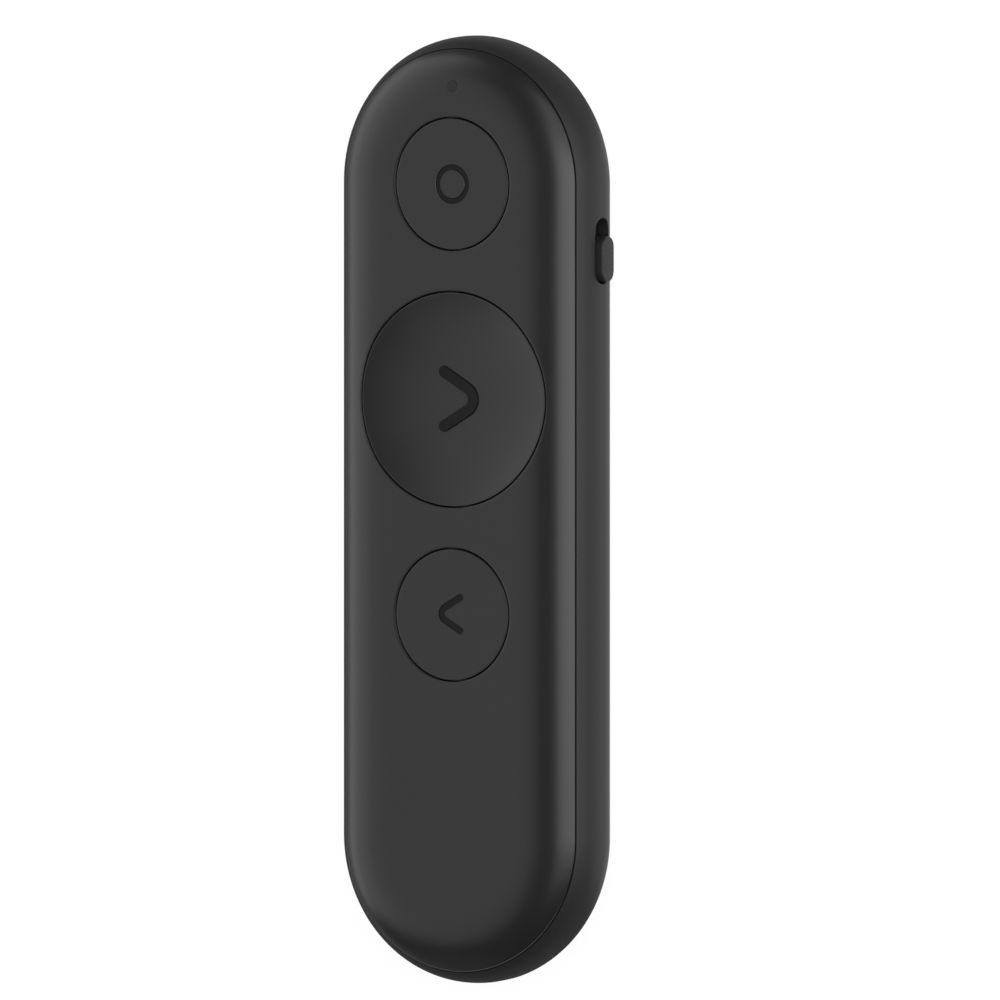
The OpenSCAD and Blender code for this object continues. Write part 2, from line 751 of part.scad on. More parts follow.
// Tube of round section along points that run mainly along +Y
module tube(path, r, sides) {
    rings = len(path);
    points = [for (i = [0:rings - 1])
        let (ahead = path[min(i + 1, rings - 1)], behind = path[max(i - 1, 0)],
            way = (i == 0 || i == rings - 1) ? [0, 1, 0] : (ahead - behind) / norm(ahead - behind),
            across = cross(way, [0, 0, 1]) / norm(cross(way, [0, 0, 1])), up = cross(across, way))
        for (k = [0:sides - 1]) path[i] + r * (cos(360 * k / sides) * across + sin(360 * k / sides) * up)];
    sides_faces = [for (i = [0:rings - 2], k = [0:sides - 1])
        let (a = i * sides + k, b = i * sides + (k + 1) % sides)
        each [[a, a + sides, b + sides], [a, b + sides, b]]];
    first = [for (k = [1:sides - 2]) [0, k, k + 1]];
    last = [for (k = [1:sides - 2]) let (s = (rings - 1) * sides) [s, s + k + 1, s + k]];
    polyhedron(points, concat(sides_faces, first, last), convexity = 4);
}

rear_housing();
front_cover();
status_window();
pointer_button();
pointer_mark();
pointer_plunger();
pointer_dome();
pointer_switch();
next_button();
next_mark();
next_plunger();
next_dome();
next_switch();
back_button();
back_mark();
back_plunger();
back_dome();
back_switch();
power_slider();
slide_lever();
slide_switch();
main_board();
board_screws();
status_led();
radio_chip();
crystal();
motion_sensor();
chip_antenna();
charger_chip();
power_inductor();
capacitors();
resistors();
usb_shell();
usb_tongue();
battery_cell();
battery_pad();
protection_board();
battery_leads();
battery_plug();
battery_header();
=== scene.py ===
"""Looks of a pill-shaped pocket clicker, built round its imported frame.

The frame gives the place of every piece. This script adds the finished surfaces: the two shells of
the case, the three keys with their marks, the light's window and the power slide, and it gives each
inner part that stays as it is a finish of its own. Shapes are worked out in millimetres and become
metres when a mesh is made.
"""

import logging
from dataclasses import dataclass, field
from enum import Enum
from typing import Callable, Sequence

import bmesh
import bpy
import numpy as np
from mathutils import Matrix, Vector

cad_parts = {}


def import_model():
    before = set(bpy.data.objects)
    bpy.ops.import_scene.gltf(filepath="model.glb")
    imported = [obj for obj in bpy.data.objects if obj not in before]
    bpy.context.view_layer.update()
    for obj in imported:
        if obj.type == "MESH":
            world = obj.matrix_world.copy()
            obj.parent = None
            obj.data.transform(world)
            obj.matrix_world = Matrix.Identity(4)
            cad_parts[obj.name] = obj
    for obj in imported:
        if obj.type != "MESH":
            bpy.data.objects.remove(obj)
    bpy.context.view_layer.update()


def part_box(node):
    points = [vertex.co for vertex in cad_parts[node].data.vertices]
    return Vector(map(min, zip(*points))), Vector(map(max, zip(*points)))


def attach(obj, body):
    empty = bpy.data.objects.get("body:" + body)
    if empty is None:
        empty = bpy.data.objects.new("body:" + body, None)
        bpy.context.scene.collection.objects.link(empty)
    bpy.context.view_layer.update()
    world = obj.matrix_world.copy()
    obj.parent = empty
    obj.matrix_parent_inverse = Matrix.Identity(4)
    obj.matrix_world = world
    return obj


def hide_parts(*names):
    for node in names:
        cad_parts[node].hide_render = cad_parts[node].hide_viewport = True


LOG = logging.getLogger("clicker")
MM = 0.001
MERGE = 2e-7  # metres within which two points become one
SHARP = np.radians(32.0)  # angle from which an edge is shaded sharp

Array = np.ndarray
Height = Callable[[Array, Array], Array]
Edge = tuple[Array, Array]  # for each row, how far it lies back along the face and below it
Tree, Node, Socket = bpy.types.NodeTree, bpy.types.Node, bpy.types.NodeSocket
Object = bpy.types.Object


class Body(Enum):
    """Bodies of the frame that pieces ride on."""

    CASE = "case"
    POINTER = "pointer_key"
    NEXT = "next_key"
    BACK = "back_key"
    SLIDE = "power_slide"


def stands_for(piece: Object, body: Body, node_name: str) -> Object:
    """Makes a piece ride on a body and stand for a node of the frame.

    Args:
        piece: The finished piece.
        body: The body that it rides on.
        node_name: The node that it replaces.

    Returns:
        The piece.
    """
    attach(piece, body.value)
    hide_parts(node_name)
    return piece


# Finishes
# --------


def fed(tree: Tree, target: Node, inputs: dict[str | int, object]) -> Node:
    """Feeds a node's inputs.

    Args:
        tree: The tree that holds the node.
        target: The node.
        inputs: For each input a value, or the socket that feeds it.

    Returns:
        The node.
    """
    for key, value in inputs.items():
        if isinstance(value, Socket):
            tree.links.new(value, target.inputs[key])
        else:
            target.inputs[key].default_value = value
    return target


def node(tree: Tree, kind: str, inputs: dict[str | int, object], **settings: object) -> Node:
    """Adds a node, sets its properties and feeds its inputs.

    Args:
        tree: The tree that gets the node.
        kind: The node's type, less its start ShaderNode.
        inputs: For each input a value, or the socket that feeds it.
        settings: The properties to set.

    Returns:
        The new node.
    """
    made = tree.nodes.new(f"ShaderNode{kind}")
    for name, value in settings.items():
        setattr(made, name, value)
    return fed(tree, made, inputs)


def calc(tree: Tree, kind: str, *values: object, clamp: bool = False) -> Socket:
    """Adds a Math node, fed with numbers or sockets, and returns its output."""
    return node(tree, "Math", dict(enumerate(values)), operation=kind, use_clamp=clamp).outputs[0]


def noise(tree: Tree, place: Socket, scale: object, detail: float) -> Socket:
    """Adds a Noise Texture on a place and returns its value."""
    inputs = {"Vector": place, "Scale": scale, "Detail": detail}
    return node(tree, "TexNoise", inputs).outputs["Fac"]


def axes(tree: Tree, place: Socket) -> Sequence[Socket]:
    """Returns the X, Y and Z sockets of a place."""
    return node(tree, "SeparateXYZ", {0: place}).outputs


def new_group(name: str, inputs: dict[str, float], outputs: Sequence[str]) -> Sequence[Tree | Node]:
    """Starts a node group with a Vector input, number inputs and number outputs.

    Args:
        name: Its name.
        inputs: Name and default of each number input.
        outputs: Names of its outputs.

    Returns:
        The group, its input node and its output node.
    """
    group = bpy.data.node_groups.new(name, "ShaderNodeTree")
    group.interface.new_socket(name="Vector", in_out="INPUT", socket_type="NodeSocketVector")
    for label, default in inputs.items():
        socket = group.interface.new_socket(
            name=label, in_out="INPUT", socket_type="NodeSocketFloat")
        socket.default_value = default
    for label in outputs:
        group.interface.new_socket(name=label, in_out="OUTPUT", socket_type="NodeSocketFloat")
    return group, group.nodes.new("NodeGroupInput"), group.nodes.new("NodeGroupOutput")


def grain_group() -> Tree:
    """Returns the fine grain of a moulded surface as a node group, and builds it if it is missing.

    Two noises of different size give the height of a spark-eroded tool's texture. A broad noise
    gives the slight change in sheen that a moulding has from place to place.

    Returns:
        The group, with inputs Vector, Scale and Cloud Scale and outputs Height and Cloud.
    """
    name, coarse_scale, half = "moulded_grain", 0.35, 0.5
    if name in bpy.data.node_groups:
        return bpy.data.node_groups[name]
    group, start, end = new_group(name, {"Scale": 5200.0, "Cloud Scale": 60.0}, ("Height", "Cloud"))
    place, scale = start.outputs["Vector"], start.outputs["Scale"]
    fine = noise(group, place, scale, 2.0)
    coarse = noise(group, place, calc(group, "MULTIPLY", scale, coarse_scale), 1.0)
    cloud = noise(group, place, start.outputs["Cloud Scale"], 3.0)
    fed(group, end, {
        "Height": calc(group, "MULTIPLY_ADD", coarse, half, calc(group, "MULTIPLY", fine, half)),
        "Cloud": calc(group, "SUBTRACT", cloud, half)})
    return group


def weave_group() -> Tree:
    """Returns the fine cloth pattern of a glass-fibre board, and builds it if it is missing.

    Returns:
        The group, with inputs Vector and Pitch and an output Weave from 0 to 1.
    """
    name = "board_weave"
    if name in bpy.data.node_groups:
        return bpy.data.node_groups[name]
    group, start, end = new_group(name, {"Pitch": 2500.0}, ("Weave",))
    waves = [
        calc(group, "SINE", calc(group, "MULTIPLY", axis, start.outputs["Pitch"]))
        for axis in axes(group, start.outputs["Vector"])[:2]]
    product = calc(group, "MULTIPLY", *waves)
    fed(group, end, {"Weave": calc(group, "MULTIPLY_ADD", product, 0.5, 0.5)})
    return group


def shades(tree: Tree, factor: Socket, colour: Sequence[float], drift: float) -> Socket:
    """Adds a mix of a darker and a lighter shade of a colour.

    Args:
        tree: The tree that gets the node.
        factor: 0 gives the darker shade and 1 the lighter one.
        colour: Linear red, green and blue.
        drift: How far each shade lies from the colour, as a share.

    Returns:
        The mix's output.
    """
    dark, light = (
        (*(min(1.0, channel * share) for channel in colour), 1.0)
        for share in (1 - drift, 1 + drift))
    factor_in, first_in, second_in, colour_out = 0, 6, 7, 2
    mix = node(
        tree, "Mix", {factor_in: factor, first_in: dark, second_in: light}, data_type="RGBA")
    return mix.outputs[colour_out]


@dataclass(frozen=True)
class Finish:
    """One finish: a colour, a gloss and the texture of the surface.

    Attributes:
        name: The material's name.
        colour: Linear red, green and blue.
        roughness: Mean roughness.
        specular: Specular IOR level.
        metallic: 1 for a metal.
        grain: Size of the surface's texture, as the noise's scale.
        depth: Depth of the texture in metres.
        cloud: How far the roughness drifts from place to place.
        tint: How far the colour drifts from place to place.
    """

    name: str
    colour: tuple[float, float, float]
    roughness: float = 0.45
    specular: float = 0.5
    metallic: float = 0.0
    grain: float = 5200.0
    depth: float = 4e-6
    cloud: float = 0.08
    tint: float = 0.1

    def material(self) -> bpy.types.Material:
        """Builds the finish's material, unless it is there already.

        Returns:
            The material.
        """
        found = bpy.data.materials.get(self.name)
        if found:
            return found
        made = bpy.data.materials.new(self.name)
        made.use_nodes = True
        tree = made.node_tree
        shader = tree.nodes["Principled BSDF"]
        place = node(tree, "TexCoord", {}).outputs["Object"]
        grain = node(
            tree, "Group", {"Scale": self.grain, "Vector": place}, node_tree=grain_group())
        height, cloud = grain.outputs["Height"], grain.outputs["Cloud"]
        bump = node(tree, "Bump", {"Distance": self.depth, "Height": height})
        fed(tree, shader, {
            "Specular IOR Level": self.specular,
            "Metallic": self.metallic,
            "Roughness": calc(tree, "MULTIPLY_ADD", cloud, self.cloud, self.roughness),
            "Normal": bump.outputs["Normal"],
            "Base Color": self.colour_socket(tree, cloud, place)})
        self.dress(tree, shader, place)
        return made

    def dress(self, tree: Tree, shader: Node, place: Socket) -> None:
        """Adds what a finish has beyond its colour, gloss and grain: here nothing."""

    def colour_socket(self, tree: Tree, cloud: Socket, place: Socket) -> Socket:
        """Returns the colour, which drifts with the grain's cloud."""
        return shades(tree, calc(tree, "ADD", cloud, 0.5), self.colour, self.tint)


@dataclass(frozen=True)
class EdgedFinish(Finish):
    """A moulded plastic whose lower edge is glossy round the port's end of the case.

    Attributes:
        edge_z: Height below which the edge lies, in metres.
        edge_y: Distance from the middle towards the port from which it shows, in metres.
        edge_fade: Width over which it comes in, in metres.
        edge_gloss: Index of refraction of its polished skin.
        edge_roughness: Roughness of that skin.
    """

    edge_z: float = 0.01028
    edge_y: float = 0.0375
    edge_fade: float = 0.004
    edge_gloss: float = 2.7
    edge_roughness: float = 0.1

    def dress(self, tree: Tree, shader: Node, place: Socket) -> None:
        """Adds the polished skin along the edge.

        Args:
            tree: The material's tree.
            shader: The surface's shader.
            place: The socket with the coordinates.
        """
        _, y, z = axes(tree, place)
        past = calc(tree, "SUBTRACT", -self.edge_y, y)
        share = calc(tree, "MULTIPLY", past, 1 / self.edge_fade, clamp=True)
        low = calc(tree, "LESS_THAN", z, self.edge_z)
        fed(tree, shader, {
            "Coat Weight": calc(tree, "MULTIPLY", low, share),
            "Coat Roughness": self.edge_roughness,
            "Coat IOR": self.edge_gloss})


@dataclass(frozen=True)
class BoardFinish(Finish):
    """Solder mask over woven glass.

    Attributes:
        weave: How far the colour changes where the threads cross.
    """

    weave: float = 0.18

    def colour_socket(self, tree: Tree, cloud: Socket, place: Socket) -> Socket:
        """Returns the colour, lighter where the weave's threads cross."""
        cloth = node(tree, "Group", {"Vector": place}, node_tree=weave_group())
        return shades(tree, cloth.outputs["Weave"], self.colour, self.weave)


SATIN_BLACK = (0.0165, 0.0165, 0.0168)
HOUSING_PLASTIC = Finish(
    "housing_matte", (0.0122, 0.0122, 0.0125), 0.56, 0.48, grain=3600.0, depth=9e-6)
COVER_PLASTIC = EdgedFinish(
    "cover_satin", SATIN_BLACK, 0.3, grain=6500.0, depth=1.5e-6, cloud=0.04)
KEY_PLASTIC = Finish("key_satin", SATIN_BLACK, 0.3, grain=6500.0, depth=1.5e-6, cloud=0.04)
MARK_PLASTIC = Finish("mark_gloss", (0.006, 0.006, 0.0062), 0.3, 0.2, grain=4000.0, depth=1e-6)
WINDOW_PLASTIC = Finish(
    "window_smoked", (0.012, 0.012, 0.013), 0.22, 0.4, grain=4000.0, depth=5e-7)
SLIDE_PLASTIC = Finish("slide_matte", (0.014, 0.014, 0.0143), 0.54, 0.38, grain=4200.0, depth=5e-6)

KEY_LABELS = ("pointer", "next", "back")
FRAME_FINISHES = {
    Finish("plunger_grey", (0.27, 0.29, 0.3), 0.5, depth=2e-6):
        tuple(f"{label}_plunger" for label in KEY_LABELS),
    Finish("switch_case_grey", (0.042, 0.042, 0.048), 0.42, depth=3e-6):
        tuple(f"{label}_switch" for label in KEY_LABELS),
    Finish("spring_steel", (0.58, 0.56, 0.52), 0.3, metallic=1.0, grain=2600.0, depth=1e-6):
        tuple(f"{label}_dome" for label in KEY_LABELS),
    Finish("lever_white", (0.68, 0.65, 0.57), 0.45, depth=2e-6): ("slide_lever",),
    Finish("tinned_steel", (0.6, 0.62, 0.64), 0.34, metallic=1.0, grain=1800.0, depth=1.5e-6):
        ("slide_switch", "usb_shell", "crystal"),
    Finish("screw_zinc", (0.52, 0.53, 0.55), 0.36, metallic=1.0, grain=2400.0, depth=2e-6):
        ("board_screws",),
    BoardFinish("board_green", (0.014, 0.075, 0.032), 0.4, depth=2e-6): ("main_board",),
    BoardFinish("guard_board", (0.25, 0.14, 0.018), 0.45, depth=2e-6): ("protection_board",),
    Finish("chip_resin", (0.012, 0.012, 0.013), 0.5, depth=5e-6):
        ("radio_chip", "motion_sensor", "charger_chip"),
    Finish("ferrite", (0.06, 0.06, 0.064), 0.6, grain=3800.0, depth=8e-6): ("power_inductor",),
    Finish("antenna_ceramic", (0.76, 0.72, 0.62), 0.38, depth=2e-6): ("chip_antenna",),
    Finish("capacitor_ceramic", (0.44, 0.3, 0.14), 0.42, depth=3e-6): ("capacitors",),
    Finish("resistor_glaze", (0.02, 0.02, 0.024), 0.3, depth=2e-6): ("resistors",),
    Finish("led_resin", (0.86, 0.86, 0.8), 0.3, depth=1e-6): ("status_led",),
    Finish("tongue_resin", (0.014, 0.014, 0.015), depth=3e-6): ("usb_tongue",),
    Finish("cell_foil", (0.5, 0.52, 0.55), 0.32, metallic=1.0, grain=900.0, depth=2e-5, cloud=0.2):
        ("battery_cell",),
    Finish("pad_foam", (0.78, 0.78, 0.76), 0.9, 0.2, grain=1500.0, depth=6e-5): ("battery_pad",),
    Finish("lead_sleeve", (0.27, 0.016, 0.014), 0.42, depth=3e-6): ("battery_leads",),
    Finish("plug_nylon", (0.87, 0.84, 0.76), 0.42, depth=2e-6): ("battery_plug",),
    Finish("header_nylon", (0.82, 0.79, 0.68), 0.46, depth=2e-6): ("battery_header",),
}


# Meshes from arrays
# ------------------


@dataclass
class Sheet:
    """A mesh put together from grids of points, in millimetres.

    Attributes:
        points: One array of points for each grid.
        quads: One array of faces for each grid, numbered through all grids.
        count: Points so far.
    """

    points: list[Array] = field(default_factory=list)
    quads: list[Array] = field(default_factory=list)
    count: int = 0

    def grid(self, points: Array, around: bool = False, keep: Array | None = None) -> None:
        """Adds a grid of points and the faces between them.

        Args:
            points: Array of columns by rows by three.
            around: Whether the last column joins the first.
            keep: True for each cell that gets a face. All do if it is None.
        """
        columns, rows = points.shape[:2]
        index = np.arange(columns * rows).reshape(columns, rows) + self.count
        ahead = np.roll(index, -1, axis=0)
        if not around:
            index, ahead = index[:-1], ahead[:-1]
        cells = np.stack([index[:, :-1], ahead[:, :-1], ahead[:, 1:], index[:, 1:]], axis=-1)
        self.quads.append(cells.reshape(-1, 4) if keep is None else cells[keep])
        self.points.append(points.reshape(-1, 3))
        self.count += columns * rows

    def obj(self, name: str, finish: Finish) -> Object:
        """Makes the object: doubles merged, normals outward, smooth but for its sharp edges.

        Args:
            name: The object's name.
            finish: Its finish.

        Returns:
            The object, linked to the scene and at the origin.
        """
        used, faces = np.unique(np.concatenate(self.quads), return_inverse=True)
        mesh = bpy.data.meshes.new(name)
        mesh.from_pydata(np.concatenate(self.points)[used] * MM, [], faces.reshape(-1, 4))
        work = bmesh.new()
        work.from_mesh(mesh)
        bmesh.ops.remove_doubles(work, verts=work.verts, dist=MERGE)
        bmesh.ops.dissolve_degenerate(work, edges=work.edges, dist=MERGE)
        bmesh.ops.recalc_face_normals(work, faces=work.faces)
        work.to_mesh(mesh)
        work.free()
        mesh.shade_smooth()
        mesh.set_sharp_from_angle(angle=SHARP)
        mesh.materials.append(finish.material())
        return linked(name, mesh)


def ring_sheet(rows: Array) -> Sheet:
    """Makes a sheet with one grid whose last column joins the first.

    Args:
        rows: Array of columns by rows by three.

    Returns:
        The sheet.
    """
    sheet = Sheet()
    sheet.grid(rows, around=True)
    return sheet


def linked(name: str, data: bpy.types.ID) -> Object:
    """Adds an object to the scene.

    Args:
        name: Its name.
        data: Its mesh, lamp or camera.

    Returns:
        The object.
    """
    made = bpy.data.objects.new(name, data)
    bpy.context.scene.collection.objects.link(made)
    return made


def cut(target: Object, tool: Object, kind: str = "DIFFERENCE") -> None:
    """Cuts a tool's shape out of an object, or joins it on, and removes the tool.

    Args:
        target: The object that changes.
        tool: The other object.
        kind: DIFFERENCE or UNION.
    """
    change = target.modifiers.new(kind.lower(), "BOOLEAN")
    change.operation = kind
    change.solver = "EXACT"
    change.object = tool
    graph = bpy.context.evaluated_depsgraph_get()
    graph.update()
    mesh = bpy.data.meshes.new_from_object(target.evaluated_get(graph))
    target.modifiers.clear()
    old = target.data
    mesh.name = target.name
    target.data = mesh
    bpy.data.meshes.remove(old)
    bpy.data.objects.remove(tool)
    mesh.set_sharp_from_angle(angle=SHARP)


def fillet(size: float, steps: int) -> Edge:
    """Quarter circle in straight steps: size * (1 - sin t) back and size * (1 - cos t) down."""
    turn = np.linspace(0.0, np.pi / 2, steps + 1)
    return size * (1 - np.sin(turn)), size * (1 - np.cos(turn))


def rounding(soft: float, lean: float, tight: float, steps: int = 5) -> Edge:
    """Works out a moulded edge as two arcs in a row.

    A broad arc of radius soft / sin lean turns the face down by the lean, and a tight one turns it
    on to upright.

    Args:
        soft: Width of the broad arc.
        lean: Angle by which it turns the face down, in degrees.
        tight: Radius of the tight arc.
        steps: Straight pieces of each arc.

    Returns:
        How far each row lies back along the face, and how far below it.
    """
    end = np.radians(lean)
    broad = soft / np.sin(end)
    first = np.linspace(0.0, end, steps + 1)
    last = np.linspace(end, np.pi / 2, steps + 1)[1:]
    back = np.concatenate([
        broad * (np.sin(end) - np.sin(first)) + tight * (1 - np.sin(end)),
        tight * (1 - np.sin(last))])
    down = np.concatenate([
        broad * (1 - np.cos(first)),
        broad * (1 - np.cos(end)) + tight * (np.cos(end) - np.cos(last))])
    return back, down


def both_ends(count: int) -> Array:
    """Returns shares from 0 to 1, closer together at both ends: (1 - cos(pi s)) / 2."""
    return (1 - np.cos(np.pi * np.linspace(0.0, 1.0, count + 1))) / 2


def far_end(count: int, power: float = 1.6) -> Array:
    """Returns shares from 0 to 1, closer together at 1: 1 - (1 - s) ** power."""
    return 1 - (1 - np.linspace(0.0, 1.0, count + 1)) ** power


def between(first: Array, last: Array, shares: Array) -> Array:
    """Returns the grid of points on straight lines: first + (last - first) * share."""
    return first[:, None, :] + (last - first)[:, None, :] * shares[None, :, None]


def discs(radii: Array, y: float, steps: int) -> Array:
    """Returns rings of points in plan round (0, y): r cos a and y + r sin a."""
    turn = np.linspace(0.0, 2 * np.pi, steps, endpoint=False)[:, None]
    return np.stack([radii * np.cos(turn), y + radii * np.sin(turn)], axis=-1)


def lathe(profile: Sequence[tuple[float, float]], y: float, steps: int) -> Array:
    """Turns a profile round the upright axis at (0, y).

    Args:
        profile: Points as radius and height.
        y: Place of the axis along the case.
        steps: Columns round the axis.

    Returns:
        The grid, one column for each step.
    """
    radii, heights = np.asarray(profile, float).T
    plan = discs(radii[None, :], y, steps)
    return np.concatenate(
        [plan, np.broadcast_to(heights[None, :, None], plan.shape[:2] + (1,))], axis=-1)


def lift(plan: Array, height: Height) -> Array:
    """Returns points in plan with their height added as a third number."""
    return np.concatenate([plan, height(plan[..., 0], plan[..., 1])[..., None]], axis=-1)


def circled(points: Array, y: float, radius: float) -> Array:
    """Returns the nearest point of the circle round (0, y) for each point in plan."""
    away = points - (0.0, y)
    return (0.0, y) + radius * away / np.linalg.norm(away, axis=-1, keepdims=True)


def nearest_on_stadium(points: Array, size: tuple[float, float], grow: float = 0.0) -> Array:
    """Finds the nearest point of a stadium's outline for each point round it.

    Formula: the centre line's nearest point plus the radius times the unit vector from it.

    Args:
        points: Array of points by two, from the stadium's middle. Its long axis is the first.
        size: Its length and width.
        grow: Width added to every side.

    Returns:
        Array of points by two.
    """
    half_run, radius = (size[0] - size[1]) / 2, size[1] / 2 + grow
    along = np.clip(points[..., 0], -half_run, half_run)
    middle = np.stack([along, np.zeros_like(along)], axis=-1)
    way = points - middle
    return middle + radius * way / np.linalg.norm(way, axis=-1, keepdims=True)


def perimeter(points: Array) -> Array:
    """Returns a grid's outer points once round, in order."""
    return np.concatenate([points[:-1, 0], points[-1, :-1], points[:0:-1, -1], points[0, :0:-1]])


def all_but(grid: Array, patches: Sequence[tuple[Array, Array]]) -> Array:
    """Marks the cells of a closed grid that get a face: all but those of the patches.

    Args:
        grid: Points of the grid, columns by rows by three.
        patches: Columns and rows of each patch that is left out.

    Returns:
        True for each cell that gets a face, columns by rows less one.
    """
    keep = np.ones((grid.shape[0], grid.shape[1] - 1), bool)
    for columns, rows in patches:
        keep[columns[0]:columns[-1], rows[0]:rows[-1]] = False
    return keep


# Form of the case
# ----------------


def bow(share: Array, power: float) -> Array:
    """Returns a squared-off quarter arc: (1 - s ** p) ** (1 / p)."""
    return (1 - share**power) ** (1 / power)


@dataclass(frozen=True)
class Form:
    """Outer form of the case: one half section carried along a spine and turned round its ends.

    Attributes:
        half_w: Half width at the widest line.
        spine: Half length of the straight stretch.
        top: Height of the flat face.
        widest: Height of the widest line.
        face_flat: Half width of the flat face.
        back_flat: Half width of the flat back.
        face_power: Squareness above the widest line.
        back_power: Squareness below the widest line.
    """

    half_w: float
    spine: float
    top: float
    widest: float = 6.6
    face_flat: float = 7.65
    back_flat: float = 4.1
    face_power: float = 2.63
    back_power: float = 1.94

    def face_height(self, reach: Array | float, inset: float = 0.0) -> Array:
        """Height of the face at a distance from the spine.

        Formula: widest + rise * bow(s), with s the share of the curved width.

        Args:
            reach: Distances from the spine.
            inset: Wall thickness, for the inner side.

        Returns:
            The heights.
        """
        curved = self.half_w - self.face_flat - inset
        share = np.clip((np.abs(reach) - self.face_flat) / curved, 0.0, 1.0)
        return self.widest + (self.top - self.widest - inset) * bow(share, self.face_power)

    def reach(self, height: Array | float, inset: float = 0.0) -> Array:
        """Distance from the spine at a height, by the same formula above and below the widest line.

        Args:
            height: Heights above the back.
            inset: Wall thickness, for the inner side.

        Returns:
            The distances.
        """
        height = np.asarray(height, float)
        up = np.clip((height - self.widest) / (self.top - self.widest - inset), 0.0, 1.0)
        down = np.clip((self.widest - height) / (self.widest - inset), 0.0, 1.0)
        above, below = (
            flat + (self.half_w - flat - inset) * bow(share, power)
            for flat, share, power in (
                (self.face_flat, up, self.face_power), (self.back_flat, down, self.back_power)))
        return np.where(height > self.widest, above, below)

    def tilt(self, height: float, step: float = 0.01) -> float:
        """Angle of the flank's outward normal above the level at a height, from a small step."""
        change = float(self.reach(height + step) - self.reach(height - step))
        return float(np.arctan2(-change, 2 * step))

    def rim(
        self, foot: float, end: int, tight: float, soft: float = 0.0, lean: float = 0.0,
        steps: int = 6, tries: int = 3,
    ) -> Array:
        """Moulded edge between the flank and a level face, as distances and heights.

        A broad arc leans away from the flank, and a tight one turns on to level. Each is
        centre + radius * (cos a, sin a), and they meet the flank and each other without a crease.

        Args:
            foot: Height of the level face.
            end: 1 for a face that looks up, and -1 for one that looks down.
            tight: Radius of the tight arc.
            soft: Length of the broad arc.
            lean: Angle by which it leans away, in degrees.
            steps: Straight pieces of each arc.
            tries: Times that the place where it meets the flank is worked out anew.

        Returns:
            The points, from the flank to the level face.
        """
        bend = np.radians(lean)
        broad = soft / bend if bend else tight
        start = self.tilt(foot)
        for _ in range(tries):
            meet = start + end * bend
            middle = foot - end * tight - (broad - tight) * np.sin(meet)
            start = self.tilt(middle + broad * np.sin(start))
        across = float(self.reach(middle + broad * np.sin(start))) - broad * np.cos(start)
        centre = np.array([across, middle])
        first = np.linspace(start, meet, steps + 1)[:, None]
        last = np.linspace(meet, end * np.pi / 2, steps + 1)[1:, None]
        inner = centre + (broad - tight) * np.array([np.cos(meet), np.sin(meet)])
        return np.concatenate([
            centre + broad * np.hstack([np.cos(first), np.sin(first)]),
            inner + tight * np.hstack([np.cos(last), np.sin(last)])])

    def from_spine(self, x: Array, y: Array) -> Array:
        """Distance of a point in plan from the spine."""
        return np.hypot(x, np.abs(y) - np.minimum(np.abs(y), self.spine))

    def height(self, x: Array, y: Array) -> Array:
        """Height of the face over a point in plan."""
        return self.face_height(self.from_spine(x, y))


@dataclass(frozen=True)
class Loop:
    """Columns once round a spine, from the right flank's lower end to the left and back.

    Attributes:
        base: Place on the spine for each column.
        way: Unit vector away from the spine for each column.
        levels: Places of the columns along each straight flank.
        arc_steps: Steps round each end.
    """

    base: Array
    way: Array
    levels: Array
    arc_steps: int

    @classmethod
    def along(
        cls, spine: float, breaks: Sequence[float], spacing: float, arc_steps: int
    ) -> "Loop":
        """Makes a loop whose straight flanks have columns at the breaks and evenly between them.

        Args:
            spine: Half length of the straight stretch.
            breaks: Places along the flank where a column has to be.
            spacing: Greatest distance between columns.
            arc_steps: Steps round each end.

        Returns:
            The loop.
        """
        marks = [-spine, *breaks, spine]
        runs = [
            np.linspace(a, b, int(np.ceil((b - a) / spacing)) + 1)[:-1]
            for a, b in zip(marks[:-1], marks[1:])]
        levels = np.concatenate([*runs, [spine]])
        turn = np.linspace(0.0, np.pi, arc_steps + 1)[1:-1]
        arc = np.stack([np.cos(turn), np.sin(turn)], axis=-1)
        ones = np.ones_like(levels)
        right = np.stack([ones, 0 * ones], axis=-1)
        end = np.full(len(turn), spine)
        base = np.concatenate([levels, end, levels[::-1], -end])
        return cls(base, np.concatenate([right, arc, -right, -arc]), levels, arc_steps)

    def level(self, place: float) -> int:
        """Number of the flank's column at a place along it."""
        return int(np.argmin(np.abs(self.levels - place)))

    def right(self, low: int, high: int) -> Array:
        """Columns of the right flank from one level to another, upwards."""
        return np.arange(low, high + 1)

    def left(self, low: int, high: int) -> Array:
        """Columns of the left flank from the high level down to the low one."""
        last = 2 * len(self.levels) + self.arc_steps - 2
        return np.arange(last - high, last - low + 1)

    def arc(self, low_end: bool) -> Array:
        """Columns of the lower or the upper round end, less those of the flanks."""
        first = len(self.levels) + (len(self.levels) + self.arc_steps - 1) * low_end
        return np.arange(first, first + self.arc_steps - 1)

    def plan(self, reach: float, columns: Array) -> Array:
        """Points in plan at one distance from the spine, for the columns wanted."""
        return self.grid(np.array([reach]), columns)[:, 0]

    def grid(self, reach: Array, columns: Array | slice = slice(None)) -> Array:
        """Grid of points in plan: x = r nx and y = base + r ny, with n the column's unit vector.

        Args:
            reach: Distance from the spine for each row.
            columns: The columns wanted.

        Returns:
            Array of columns by rows by two.
        """
        out = self.way[columns][:, None, :] * reach[None, :, None]
        out[..., 1] += self.base[columns][:, None]
        return out

    def sweep(self, profile: Array) -> Array:
        """A profile of distances and heights carried round the spine, as a grid of points.

        Args:
            profile: Array of points by two.

        Returns:
            Array of columns by rows by three.
        """
        plan = self.grid(profile[:, 0])
        height = np.broadcast_to(profile[None, :, 1:], plan.shape[:2] + (1,))
        return np.concatenate([plan, height], axis=-1)


# Sub-assemblies
# --------------


